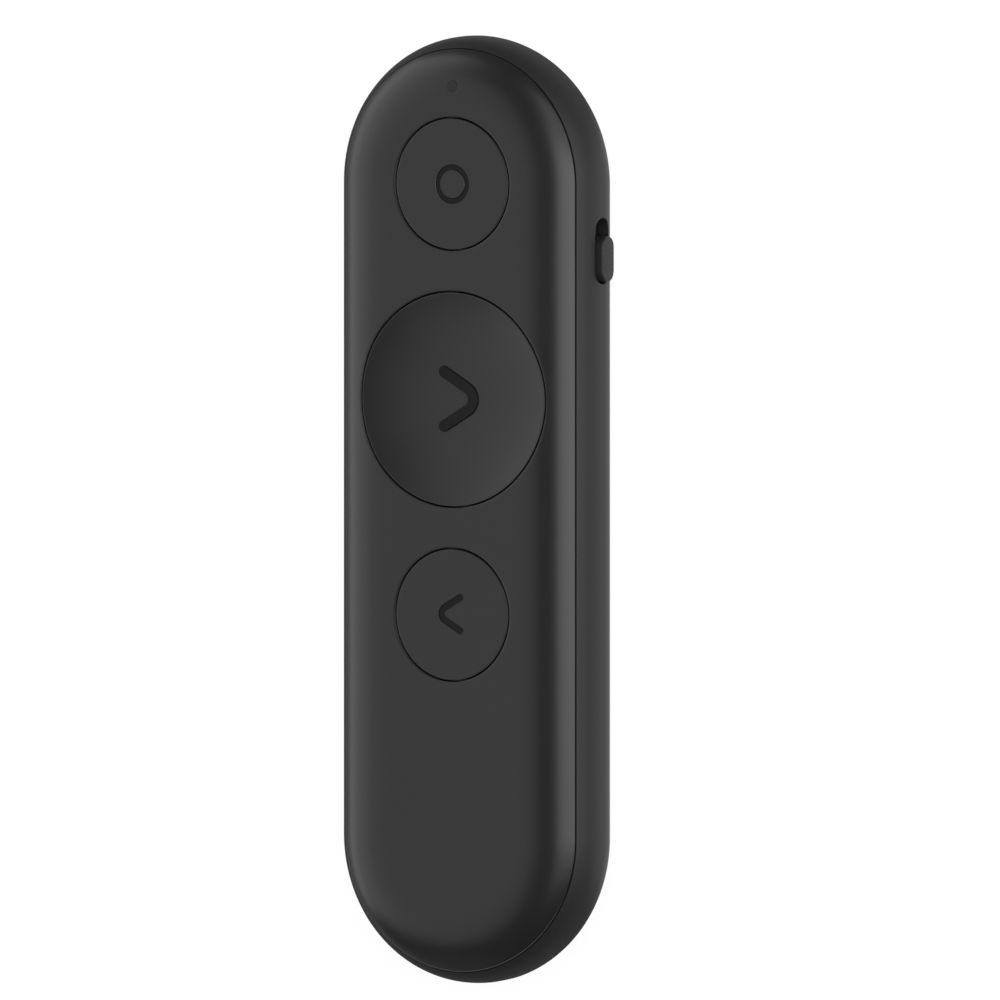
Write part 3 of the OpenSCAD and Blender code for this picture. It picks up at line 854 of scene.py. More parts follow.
@dataclass(frozen=True)
class Hole:
    """A round hole in the cover on its centre line.

    Attributes:
        y: Place of its middle.
        radius: Its radius.
    """

    y: float
    radius: float


@dataclass
class Cover:
    """The front cover: a thin curved shell with a hole for each key and one for the light.

    Attributes:
        form: Outer form of the case.
        keys: Holes of the keys, from the lower end up.
        light: Hole of the light.
        seam: Height of the parting line.
        seam_gap: Half the gap that shows at the parting line.
        edge: Moulded lower edge: radius of its tight arc, length of its broad arc and its lean.
        lip: Moulded edge of the keys' holes: soft width, lean in degrees and tight radius.
        light_lip: Rounding of the light's hole, and its straight pieces.
        wall: Thickness.
        tongue: Inner and outer side of the tongue that locates the cover.
        tongue_depth: How far the tongue reaches below the parting line.
        tongue_edge: Bevels at its root and at its foot.
        end_margin: Distance from the lower key's hole to the first cut across the plan.
        spacing: Greatest distance between columns.
        arc_steps: Columns round each end.
        rows: Rows from a key's hole to the outer edge.
        across: Rows from the middle to the edge, on the cuts and on the lower end.
        patch_turn: Half angle of the light's patch.
        patch_rows: Rows from the light's middle to the edge of its patch, and rows in the patch.
    """

    form: Form
    keys: tuple[Hole, Hole, Hole]
    light: Hole
    seam: float
    seam_gap: float = 0.018
    edge: tuple[float, float, float] = (0.04, 0.12, 18.0)
    lip: tuple[float, float, float] = (0.23, 13.0, 0.05)
    light_lip: tuple[float, int] = (0.015, 3)
    wall: float = 1.4
    tongue: tuple[float, float] = (11.95, 12.65)
    tongue_depth: float = 0.9
    tongue_edge: tuple[float, float] = (0.05, 0.1)
    end_margin: float = 2.15
    spacing: float = 0.6
    arc_steps: int = 96
    rows: int = 26
    across: int = 36
    patch_turn: float = 0.18
    patch_rows: tuple[int, int] = (3, 6)

    def __post_init__(self) -> None:
        """Works out where the plan is split, and the columns round the edge."""
        back, middle, pointer = self.keys
        self.cuts = (
            back.y - back.radius - self.end_margin,
            (back.y + back.radius + middle.y - middle.radius) / 2,
            (middle.y + middle.radius + pointer.y - pointer.radius) / 2)
        self.loop = Loop.along(self.form.spine, self.cuts, self.spacing, self.arc_steps)

    def outline(self, block: int, reach: float, shares: Array) -> Array:
        """Outer points of one block of the plan, once round.

        Args:
            block: 0, 1 or 2, from the lower key up.
            reach: Distance of the outer edge from the spine.
            shares: Shares of the reach at which points lie on the cuts across the cover.

        Returns:
            Points in plan, with the first one not repeated.
        """
        loop, low = self.loop, self.loop.level(self.cuts[block])
        across = np.concatenate([-shares[:0:-1], shares]) * reach

        def crossing(x: Array, y: float) -> Array:
            """Points on a cut, less the last."""
            return np.stack([x, np.full_like(x, y)], axis=-1)[:-1]

        bottom = crossing(across, self.cuts[block])
        if block == len(self.cuts) - 1:
            high = len(loop.levels) - 1
            columns = np.concatenate([loop.right(low, high), loop.arc(False), loop.left(low, high)])
            return np.concatenate([bottom, loop.plan(reach, columns)[:-1]])
        high = loop.level(self.cuts[block + 1])
        return np.concatenate([
            bottom, loop.plan(reach, loop.right(low, high))[:-1],
            crossing(across[::-1], self.cuts[block + 1]),
            loop.plan(reach, loop.left(low, high))[:-1]])

    def layer(
        self, sheet: Sheet, reach: float, lips: Sequence[float], height: Height
    ) -> list[Array]:
        """Adds one face of the cover, with its holes.

        The plan is a fan of columns below the lower key, and a block of columns round each key from
        its hole to the outline. The height is a function of the place in plan.

        Args:
            sheet: The mesh that grows.
            reach: Distance of the outer edge from the spine.
            lips: Width added to each hole, with the light's last.
            height: Height over a point in plan.

        Returns:
            The points round each hole, with the light's last.
        """
        shares = far_end(self.across)
        level = self.loop.level(self.cuts[0])
        fan = np.concatenate([
            self.loop.left(0, level), self.loop.arc(True), self.loop.right(0, level)])
        sheet.grid(lift(self.loop.grid(reach * shares, fan), height))
        rings = []
        for block, hole in enumerate(self.keys):
            outer = self.outline(block, reach, shares)
            rings.append(circled(outer, hole.y, hole.radius + lips[block]))
            plan = between(rings[-1], outer, both_ends(self.rows))
            if block < len(self.keys) - 1:
                sheet.grid(lift(plan, height), around=True)
        return [*rings, self.with_light(sheet, plan, hole, lips[-1], height)]

    def with_light(
        self, sheet: Sheet, plan: Array, hole: Hole, lip: float, height: Height
    ) -> Array:
        """Adds the upper block with a patch left out for the light, and the patch round its hole.

        Args:
            sheet: The mesh that grows.
            plan: The block's plan.
            hole: The upper key's hole.
            lip: Width added to the light's hole.
            height: Height over a point in plan.

        Returns:
            The points round the light's hole.
        """
        turn = np.abs(np.arctan2(plan[:, -1, 0], plan[:, -1, 1] - hole.y))
        columns = np.flatnonzero(turn < self.patch_turn)
        line = plan[columns[len(columns) // 2], :, 1]
        nearest = int(np.argmin(np.abs(line - self.light.y)))
        reach, steps = self.patch_rows
        rows = np.arange(nearest - reach, nearest + reach + 1)
        sheet.grid(lift(plan, height), around=True, keep=all_but(plan, [(columns, rows)]))
        outer = perimeter(plan[columns[0]:columns[-1] + 1, rows[0]:rows[-1] + 1])
        ring = circled(outer, self.light.y, self.light.radius + lip)
        sheet.grid(lift(between(ring, outer, np.linspace(0, 1, steps + 1)), height), around=True)
        return ring

    def underside(self, x: Array, y: Array) -> Array:
        """Height of the inner face over a point in plan."""
        return self.form.face_height(self.form.from_spine(x, y), self.wall)

    def build(self) -> Object:
        """Builds the cover as one closed shell.

        Returns:
            The finished object.
        """
        sheet = Sheet()
        edge_z = self.seam + self.seam_gap
        rim = self.form.rim(edge_z, -1, *self.edge)
        edges = [rounding(*self.lip)] * len(self.keys) + [fillet(*self.light_lip)]
        top = self.layer(sheet, rim[0, 0], [back[0] for back, _ in edges], self.form.height)
        inner, outer = self.tongue
        below = self.layer(sheet, inner, [0.0] * len(edges), self.underside)
        for hole, edge, ring, under in zip([*self.keys, self.light], edges, top, below):
            sheet.grid(self.hole_wall(hole, edge, ring, under), around=True)
        foot = self.seam - self.tongue_depth
        root, tip = self.tongue_edge
        profile = np.array([
            *rim, (outer + root, edge_z), (outer, edge_z - root), (outer, foot + tip),
            (outer - tip, foot), (inner, foot),
            (inner, float(self.form.face_height(inner, self.wall)))])
        sheet.grid(self.loop.sweep(profile), around=True)
        cover = sheet.obj("front_cover_shell", COVER_PLASTIC)
        return stands_for(cover, Body.CASE, "front_cover")

    def hole_wall(self, hole: Hole, edge: Edge, ring: Array, under: Array) -> Array:
        """Rounded edge and wall of one hole, from the face down to the underside.

        Formula: radius + back, and the face's height there less down.

        Args:
            hole: The hole.
            edge: How far each row lies back from the hole and below the face.
            ring: Its points on the face.
            under: Its points on the underside.

        Returns:
            The grid, one column for each point of the ring.
        """
        rows = [
            lift(circled(ring, hole.y, hole.radius + back), self.form.height) - (0.0, 0.0, down)
            for back, down in zip(*edge)]
        return np.stack([*rows, lift(under, self.underside)], axis=1)


@dataclass
class Housing:
    """The rear housing: a deep shell with the power slide's slot and the charging port's opening.

    Attributes:
        form: Outer form of the case.
        seam: Height of the parting line.
        slot_at: Place of the slot's middle along the flank, and its height.
        slot: Length and width of the slot.
        port_z: Height of the port's middle.
        port: Width and height of the port's opening.
        recess: Lowest and highest corner of the slide plate's recess, as y and z.
        recess_x: How deep the recess is cut into the flank's inner side.
        cavity: Distance of the inner flank from the spine.
        seam_gap: Half the gap that shows at the parting line.
        edge: Rounding of the housing's upper edge.
        groove: Width and depth of the slanted groove behind that edge.
        groove_edge: Small steps at the groove's start and at the top of the inner flank.
        seat: Depth of the upright stretch below the inner flank's top.
        dip: How much lower the rim runs round the ends.
        dip_run: Distance along the case over which it gets there.
        dip_top: How far below the parting line the full dip is reached.
        slot_lip: Rounding of the slot's edge, and its straight pieces.
        port_lip: Moulded edge of the port: soft width, lean in degrees and tight radius.
        wall: Thickness.
        band: Heights between which the openings lie.
        band_rows: Rows in that band.
        back_rows: Rows of the flat back and of the curve up to the band.
        rim_rows: Rows from the band to the rim.
        floor_rows: Rows of the inner curve and of the floor.
        face_rows: Rows from an opening to the edge of its patch, and their spread.
        inner_rows: Rows from the port to the edge of its patch on the inner side.
        spacing: Greatest distance between columns.
        arc_steps: Columns round each end.
        port_columns: Columns from the port's middle to the edge of its patch.
        patch: Ends of the slot's patch along the flank.
    """

    form: Form
    seam: float
    slot_at: tuple[float, float]
    slot: tuple[float, float]
    port_z: float
    port: tuple[float, float]
    recess: tuple[Array, Array]
    recess_x: float = 13.65
    cavity: float = 12.75
    seam_gap: float = 0.018
    edge: float = 0.025
    groove: tuple[float, float] = (0.1, 0.25)
    groove_edge: tuple[float, float] = (0.01, 0.1)
    seat: float = 0.35
    dip: float = 0.05
    dip_run: float = 8.0
    dip_top: float = 0.2
    slot_lip: tuple[float, int] = (0.05, 5)
    port_lip: tuple[float, float, float] = (0.1, 15.0, 0.05)
    wall: float = 1.5
    band: tuple[float, float] = (2.7, 9.2)
    band_rows: int = 28
    back_rows: tuple[int, int] = (5, 30)
    rim_rows: int = 5
    floor_rows: tuple[int, int] = (12, 3)
    face_rows: tuple[int, float] = (9, 0.6)
    inner_rows: int = 4
    spacing: float = 0.45
    arc_steps: int = 96
    port_columns: int = 13
    patch: tuple[float, float] = (20.4, 32.9)

    def __post_init__(self) -> None:
        """Makes the columns round the case, and the height of the rim."""
        self.loop = Loop.along(self.form.spine, self.patch, self.spacing, self.arc_steps)
        self.rim = self.seam - self.seam_gap

    def outer_profile(self) -> tuple[Array, int]:
        """Outer half section from the middle of the back up to the rim.

        Returns:
            The points, and the row at which the band of the openings starts.
        """
        form, (flat_rows, curve_rows) = self.form, self.back_rows
        wide, power = form.half_w - form.back_flat, 2 / form.back_power
        share = (form.reach(self.band[0]) - form.back_flat) / wide
        turn = np.linspace(np.pi / 2, np.arccos(share ** (1 / power)), curve_rows + 1)
        curve = np.column_stack([
            form.back_flat + wide * np.cos(turn) ** power,
            form.widest * (1 - np.sin(turn) ** power)])
        curve[0] = (form.back_flat, 0.0)
        shares = np.linspace(0, 1, flat_rows + 1)[:-1]
        flat = np.column_stack([form.back_flat * shares, 0 * shares])
        edge = form.rim(self.rim, 1, self.edge)
        heights = np.concatenate([
            np.linspace(*self.band, self.band_rows + 1)[1:],
            np.linspace(self.band[1], edge[0, 1], self.rim_rows + 1)[1:-1]])
        flank = np.column_stack([form.reach(heights), heights])
        (width, depth), (start, step), end = self.groove, self.groove_edge, edge[-1, 0]
        seat = np.array([
            (end - start, self.rim - start), (end - width, self.rim - depth),
            (self.cavity + step, self.rim - depth), (self.cavity, self.rim - depth - step)])
        points = np.concatenate([flat, curve, flank, edge, seat])
        return points, len(flat) + len(curve) - 1

    def inner_profile(self) -> tuple[Array, int]:
        """Inner half section from the rim down to the middle of the floor.

        Returns:
            The points, and the row at which the band of the openings ends.
        """
        top = self.rim - self.groove[1]
        band = np.linspace(*self.band, self.band_rows + 1)[::-1]
        curve_rows, floor_rows = self.floor_rows
        low = self.band[0] - (self.band[0] - self.wall) * far_end(curve_rows, 1.8)[1:]
        heights = np.concatenate([band, low])
        shares = np.linspace(1, 0, floor_rows + 1)[1:]
        start = [(self.cavity, top - self.groove_edge[1]), (self.cavity, top - self.seat)]
        points = np.concatenate([
            start, np.column_stack([self.inner_reach(heights), heights]),
            np.column_stack([self.form.back_flat * shares, 0 * shares + self.wall])])
        return points, len(start)

    def inner_reach(self, height: Array) -> Array:
        """Distance of the inner side from the spine at a height."""
        return np.minimum(self.cavity, self.form.reach(height, self.wall))

    def dipped(self, profile: Array) -> Array:
        """Sweeps a profile and lowers its rim round the two ends, where the seam is wider.

        Formula: height less the dip, times a share that rises past the straight part, times a share
        that rises from the top of the openings' band to the rim.

        Args:
            profile: Points as distance and height.

        Returns:
            The grid of points.
        """
        grid = self.loop.sweep(profile)
        past = np.clip((np.abs(grid[..., 1]) - self.form.spine) / self.dip_run, 0.0, 1.0)
        rise = self.seam - self.dip_top - self.band[1]
        grid[..., 2] -= self.dip * past * np.clip((grid[..., 2] - self.band[1]) / rise, 0.0, 1.0)
        return grid

    def build(self) -> Object:
        """Builds the housing as one closed shell with both openings.

        Returns:
            The finished object.
        """
        sheet, loop = Sheet(), self.loop
        slot = loop.right(*(loop.level(place) for place in self.patch))
        middle = loop.arc(True)[self.arc_steps // 2 - 1]
        port = np.arange(middle - self.port_columns, middle + self.port_columns + 1)
        around = []
        for (profile, start), way in ((self.outer_profile(), 1), (self.inner_profile(), -1)):
            grid = self.dipped(profile)
            rows = np.arange(start, start + self.band_rows + 1)
            patches = [(slot, rows), (port, rows)]
            sheet.grid(grid, around=True, keep=all_but(grid, patches))
            around.append([perimeter(grid[np.ix_(part, rows[::way])]) for part in (slot, port)])
        self.slot_opening(sheet, *(patches[0] for patches in around))
        self.port_opening(sheet, *(patches[1] for patches in around))
        housing = sheet.obj("rear_housing_shell", HOUSING_PLASTIC)
        return stands_for(housing, Body.CASE, "rear_housing")

    def mouth(
        self, sheet: Sheet, flat: Array, size: tuple[float, float], edge: Edge,
        surface: Callable[[Array], Array], inward: tuple[float, float, float],
    ) -> list[Array]:
        """Adds the face round an opening, and works out its rounded edge.

        Args:
            sheet: The mesh that grows.
            flat: Points round the patch, from the opening's middle.
            size: Length and width of the opening.
            edge: How far each row lies back from the opening and below the face.
            surface: Gives the point of the case for a place from the opening's middle.
            inward: Unit vector into the case.

        Returns:
            The rows, from the face inwards.
        """
        ring = nearest_on_stadium(flat, size, edge[0][0])
        sheet.grid(surface(between(ring, flat, far_end(*self.face_rows))), around=True)
        return [
            surface(nearest_on_stadium(flat, size, back)) + down * np.array(inward)
            for back, down in zip(*edge)]

    def slot_opening(self, sheet: Sheet, outer: Array, inner: Array) -> None:
        """Adds the slot: its face, rounded edge, wall and the recess behind it.

        Args:
            sheet: The mesh that grows.
            outer: Points round the patch on the outer side.
            inner: Points round the patch on the inner side, in the same order.
        """

        def on_flank(plan: Array) -> Array:
            """Points of the outer flank at given places along and up."""
            place = plan + self.slot_at
            return np.concatenate([self.form.reach(place[..., 1])[..., None], place], axis=-1)

        flat = outer[:, 1:] - self.slot_at
        rows = self.mouth(
            sheet, flat, self.slot, fillet(*self.slot_lip), on_flank, (-1.0, 0.0, 0.0))
        hole = nearest_on_stadium(flat, self.slot) + self.slot_at
        low, high = self.recess
        first, last = outer[:, 1:].min(0), outer[:, 1:].max(0)
        frame = low + (outer[:, 1:] - first) / (last - first) * (high - low)
        depth = np.full(len(outer), self.recess_x)
        for reach, place in (
            (depth, hole), (depth, frame), (self.inner_reach(frame[:, 1]), frame)):
            rows.append(np.column_stack([reach, place]))
        sheet.grid(np.stack([*rows, inner], axis=1), around=True)

    def port_opening(self, sheet: Sheet, outer: Array, inner: Array) -> None:
        """Adds the charging port's opening: its face, rounded edge and wall.

        Args:
            sheet: The mesh that grows.
            outer: Points round the patch on the outer side.
            inner: Points round the patch on the inner side, in the same order.
        """
        middle = (0.0, self.port_z)

        def on_end(plan: Array, reach: Callable[[Array], Array] = self.form.reach) -> Array:
            """Points of the lower round end at given places across and up."""
            x, z = np.moveaxis(plan + middle, -1, 0)
            return np.stack([x, -self.form.spine - np.sqrt(reach(z) ** 2 - x**2), z], axis=-1)

        flat, inner_flat = outer[:, ::2] - middle, inner[:, ::2] - middle
        rows = self.mouth(
            sheet, flat, self.port, rounding(*self.port_lip), on_end, (0.0, 1.0, 0.0))
        hole = nearest_on_stadium(flat, self.port)
        sheet.grid(np.stack([*rows, on_end(hole, self.inner_reach)], axis=1), around=True)
        shares = np.linspace(0, 1, self.inner_rows + 1)
        sheet.grid(on_end(between(hole, inner_flat, shares), self.inner_reach), around=True)


@dataclass(frozen=True)
class Stroke:
    """A chevron drawn with a round-ended line, with its bend at the right before it is turned.

    Attributes:
        height: Height over the line's outer edges.
        width: Width over the line's outer edges.
        line: Width of the line.
        bend: Radius of the bend's centre line.
        middle: Middle of its box, across and along the case.
        facing: 1 points to +X, and -1 points to -X.
        steps: Steps of each arm and of half the bend.
        across: Steps across the line.
        cap: Steps of each round end.
    """

    height: float
    width: float
    line: float
    bend: float
    middle: Array
    facing: int
    steps: int = 14
    across: int = 8
    cap: int = 10

    def spine(self) -> tuple[Array, Array]:
        """Centre line of the stroke and its unit normals.

        The bend is an arc round the origin, and each arm runs on as its tangent to the tail.

        Returns:
            Points and normals, from the lower tail to the upper one.
        """
        tail = np.array([-(self.width - self.bend - self.line), (self.height - self.line) / 2])
        lean = np.arctan2(tail[1], tail[0]) - np.arccos(self.bend / np.hypot(*tail))
        turn = np.linspace(-lean, lean, 2 * self.steps + 1)
        way = np.stack([np.cos(turn), np.sin(turn)], axis=-1)
        arc = self.bend * way
        shares = np.linspace(0, 1, self.steps + 1)[:-1, None]
        lower = tail * (1, -1) + (arc[0] - tail * (1, -1)) * shares
        upper = (tail + (arc[-1] - tail) * shares)[::-1]
        points = np.concatenate([lower, arc, upper])
        normals = np.concatenate([
            np.repeat(way[:1], self.steps, 0), way, np.repeat(way[-1:], self.steps, 0)])
        points = points + ((self.width / 2 - self.bend - self.line / 2), 0.0)
        flip = np.array([self.facing, 1.0])
        return points * flip + self.middle, normals * flip

    def ribbon(self, grow: float) -> Array:
        """Grid over the stroke in plan: along it by across it, with its round ends folded in.

        Formula: centre line + w * normal, with each end's columns turned as a fan round the tail.

        Args:
            grow: Width added to every side.

        Returns:
            Array of columns by rows by two.
        """
        points, normals = self.spine()
        half = self.line / 2 + grow
        side = np.linspace(-1.0, 1.0, self.across + 1)
        body = points[:, None, :] + half * side[None, :, None] * normals[:, None, :]
        out = np.sin(np.linspace(0, np.pi / 2, self.cap + 1))[1:]
        narrow = np.sqrt(np.clip(1 - out**2, 0.0, 1.0))
        fan = (narrow[:, None] * side[None, :])[..., None]
        ends = []
        for tip, neighbour in ((0, 1), (-1, -2)):
            along = points[tip] - points[neighbour]
            along /= np.linalg.norm(along)
            ends.append(points[tip] + half * (out[:, None, None] * along + fan * normals[tip]))
        return np.concatenate([ends[0][::-1], body, ends[1]])

    def solid(
        self, name: str, finish: Finish, grow: float, top: Height, bottom: Height,
        bevel: float = 0.0,
    ) -> Object:
        """Builds the stroke as a closed solid between two heights.

        Args:
            name: The object's name.
            finish: Its finish.
            grow: Width added to every side.
            top: Height of its upper face.
            bottom: Height of its lower face.
            bevel: Rounding of its upper edge.

        Returns:
            The object.
        """
        wide = self.ribbon(grow)
        upper, lower = lift(self.ribbon(grow - bevel), top), lift(wide, bottom)
        shoulder = [lift(wide, top) - (0.0, 0.0, bevel)] if bevel else []
        sheet = Sheet()
        sheet.grid(upper)
        sheet.grid(lower)
        rings = [perimeter(points) for points in (upper, *shoulder, lower)]
        sheet.grid(np.stack(rings, axis=1), around=True)
        return sheet.obj(name, finish)


@dataclass
class Key:
    """A round key with its flange, its stem and the mark laid into it.

    Attributes:
        label: Start of the names of its pieces.
        body: Body that it rides on.
        form: Outer form of the case.
        y: Place of its middle along the case.
        radius: Its radius.
        stem_z: Height of the stem's lower end.
        dish: Depth of the hollow in its face, or 0.
        rows: Rings of its face.
        sink: How far the mark lies below the face.
        fit: Clearance round the mark.
        dish_power: Power by which the hollow rises from its middle to the rim.
        steps: Columns round it.
        edge: Moulded edge of its face: soft width, lean in degrees and tight radius.
        flange: Width and thickness of the flange, and the bevel of its edges.
        cover_wall: Thickness of the cover over the flange.
        cover_gap: Gap between the cover and the flange.
        skirt: Thickness of the skirt.
        cap: Thickness of the cap.
        stem: Radius of the stem and the bevel of its end.
        pocket: Depth of the pocket for the mark, and the bevel of a ring's pocket.
        bed: How far the mark's underside lies above the pocket's floor.
        mark_edge: Bevel of the mark.
        clear: How far the pocket's tool stands above the face.
        ring_steps: Columns round a ring.
    """

    label: str
    body: Body
    form: Form
    y: float
    radius: float
    stem_z: float
    dish: float = 0.0
    rows: int = 14
    sink: float = 0.08
    fit: float = 0.02
    dish_power: float = 2.4
    steps: int = 192
    edge: tuple[float, float, float] = (0.12, 10.0, 0.05)
    flange: tuple[float, float, float] = (0.7, 0.6, 0.08)
    cover_wall: float = 1.4
    cover_gap: float = 0.08
    skirt: float = 0.9
    cap: float = 1.2
    stem: tuple[float, float] = (1.5, 0.1)
    pocket: tuple[float, float] = (0.35, 0.03)
    bed: float = 0.01
    mark_edge: float = 0.02
    clear: float = 0.5
    ring_steps: int = 128

    def face(self, x: Array, y: Array) -> Array:
        """Height of the key's face over a point in plan.

        A flat key follows the case's face. The hollow rises from its middle to the case's form all
        round the rim: middle + (rim - middle) * share ** power.

        Args:
            x: Places across the case.
            y: Places along the case.

        Returns:
            The heights.
        """
        reach = np.hypot(x, y - self.y)
        if not self.dish:
            return np.full_like(reach, self.form.top)
        side = np.divide(np.abs(x), reach, out=np.zeros_like(reach), where=reach > 0) * self.radius
        rim = self.form.face_height(side)
        low = self.form.top - self.dish
        return low + (rim - low) * np.minimum(reach / self.radius, 1.0) ** self.dish_power

    def under(self) -> list[tuple[float, float]]:
        """Lower half section, from the skirt's outer side to the stem's middle.

        Returns:
            Points as radius and height.
        """
        width, thick, bevel = self.flange
        out, inside = self.radius + width, self.radius - self.skirt
        roof = self.form.top - self.dish - self.cap
        high = float(self.form.face_height(out, self.cover_wall)) - self.cover_gap
        low = high - thick
        stem_r, stem_bevel = self.stem
        return [
            (self.radius, high), (out - bevel, high), (out, high - bevel), (out, low + bevel),
            (out - bevel, low), (inside, low), (inside, roof), (stem_r, roof),
            (stem_r, self.stem_z + stem_bevel), (stem_r - stem_bevel, self.stem_z),
            (0.0, self.stem_z)]

    def cap_piece(self, section: Sequence[tuple[float, float]] = ((0.0, 0.0),)) -> Object:
        """Builds the key: its face, moulded edge, skirt, flange and stem.

        Args:
            section: Middle of the face as radii and depths below it, where it isn't plain.

        Returns:
            The key.
        """
        back, down = rounding(*self.edge)
        inner_radii, inner_depths = np.array(section).T
        radii = np.concatenate([
            inner_radii,
            np.linspace(inner_radii[-1], self.radius - back[0], self.rows)[1:],
            self.radius - back[1:]])
        depths = np.concatenate([inner_depths, np.zeros(self.rows - 1), down[1:]])
        face = lift(discs(radii, self.y, self.steps), self.face)
        face[..., 2] -= depths
        rows = np.concatenate([face, lathe(self.under(), self.y, self.steps)], axis=1)
        cap = ring_sheet(rows).obj(f"{self.label}_cap", KEY_PLASTIC)
        return stands_for(cap, self.body, f"{self.label}_button")

    def inlaid(self, mark: Object) -> Object:
        """Makes the mark ride with the key and stand for its node."""
        return stands_for(mark, self.body, f"{self.label}_mark")

    def with_stroke(self, stroke: Stroke) -> list[Object]:
        """Builds the key with a stroke laid into it.

        Args:
            stroke: The mark's shape.

        Returns:
            The key and its mark.
        """

        def below(drop: float) -> Height:
            """Height of the face less a depth."""
            return lambda x, y: self.face(x, y) - drop

        cap, depth = self.cap_piece(), self.pocket[0]
        cut(cap, stroke.solid(
            "pocket_tool", KEY_PLASTIC, self.fit, below(-self.clear), below(depth)))
        mark = stroke.solid(
            f"{self.label}_inlay", MARK_PLASTIC, 0.0, below(self.sink), below(depth - self.bed),
            self.mark_edge)
        return [cap, self.inlaid(mark)]

    def with_ring(self, outer: float, line: float) -> list[Object]:
        """Builds the key with a ring laid into it.

        Args:
            outer: Outer radius of the ring.
            line: Width of its line.

        Returns:
            The key and its mark.
        """
        inner, (depth, corner), bevel = outer - line, self.pocket, self.mark_edge
        wide, tight = outer + self.fit, inner - self.fit
        cap = self.cap_piece((
            (0.0, 0.0), (tight * 0.5, 0.0), (tight - corner, 0.0), (tight, corner), (tight, depth),
            (wide, depth), (wide, corner), (wide + corner, 0.0)))
        face, bottom = self.form.top - self.sink, self.form.top - depth + self.bed
        ring = [
            (inner, bottom), (inner, face - bevel), (inner + bevel, face), (outer - bevel, face),
            (outer, face - bevel), (outer, bottom), (inner, bottom)]
        mark = ring_sheet(lathe(ring, self.y, self.ring_steps))
        return [cap, self.inlaid(mark.obj(f"{self.label}_inlay", MARK_PLASTIC))]


@dataclass
class Window:
    """The light's window: the end of a light guide that follows the cover's form.

    Attributes:
        form: Outer form of the case.
        y: Place of its middle.
        radius: Its radius.
        shoulder_r: Radius of the guide's shoulder.
        shoulder_z: Height of the shoulder's upper face.
        base_z: Height of the guide's lower end.
        edge: Rounding of its face's edge, and its straight pieces.
        rows: Rings of its face.
        steps: Columns round it.
    """

    form: Form
    y: float
    radius: float
    shoulder_r: float
    shoulder_z: float
    base_z: float
    edge: tuple[float, int] = (0.02, 3)
    rows: int = 6
    steps: int = 64

    def build(self) -> Object:
        """Builds the guide with a face that follows the cover.

        Returns:
            The finished object.
        """
        back, down = fillet(*self.edge)
        radii = np.concatenate([
            np.linspace(0.0, self.radius - self.edge[0], self.rows), self.radius - back[1:]])
        face = lift(discs(radii, self.y, self.steps), self.form.height)
        face[:, -len(back):, 2] -= down
        below = [
            (self.radius, self.shoulder_z), (self.shoulder_r, self.shoulder_z),
            (self.shoulder_r, self.base_z), (0.0, self.base_z)]
        rows = np.concatenate([face, lathe(below, self.y, self.steps)], axis=1)
        window = ring_sheet(rows).obj("status_light_window", WINDOW_PLASTIC)
        return stands_for(window, Body.CASE, "status_window")


@dataclass(frozen=True)
class Box:
    """A box in millimetres.

    Attributes:
        low: Its lowest corner.
        high: Its highest corner.
    """

    low: Array
    high: Array

    @classmethod
    def of(cls, node_name: str) -> "Box":
        """Returns the box of one of the frame's nodes."""
        return cls(*(np.array(corner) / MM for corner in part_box(node_name)))

    @property
    def size(self) -> Array:
        """Its three sides."""
        return self.high - self.low

    @property
    def middle(self) -> Array:
        """Its middle."""
        return (self.low + self.high) / 2

    def solid(self, name: str, bevel: float = 0.06) -> Object:
        """Builds the box with bevelled upper and lower edges, as stacked square rings.

        Args:
            name: The object's name.
            bevel: Size of the bevel.

        Returns:
            The object.
        """
        half = self.size / 2
        corners = np.array([(-1, -1), (1, -1), (1, 1), (-1, 1)], float)
        wide, narrow, closed = half[:2], half[:2] - bevel, 0 * half[:2]
        lower = [(closed, half[2]), (narrow, half[2]), (wide, half[2] - bevel)]
        rows = [
            np.column_stack([corners * reach, np.full(4, side * height)]) + self.middle
            for side, rings in ((-1, lower), (1, lower[::-1])) for reach, height in rings]
        return ring_sheet(np.stack(rows, axis=1)).obj(name, SLIDE_PLASTIC)


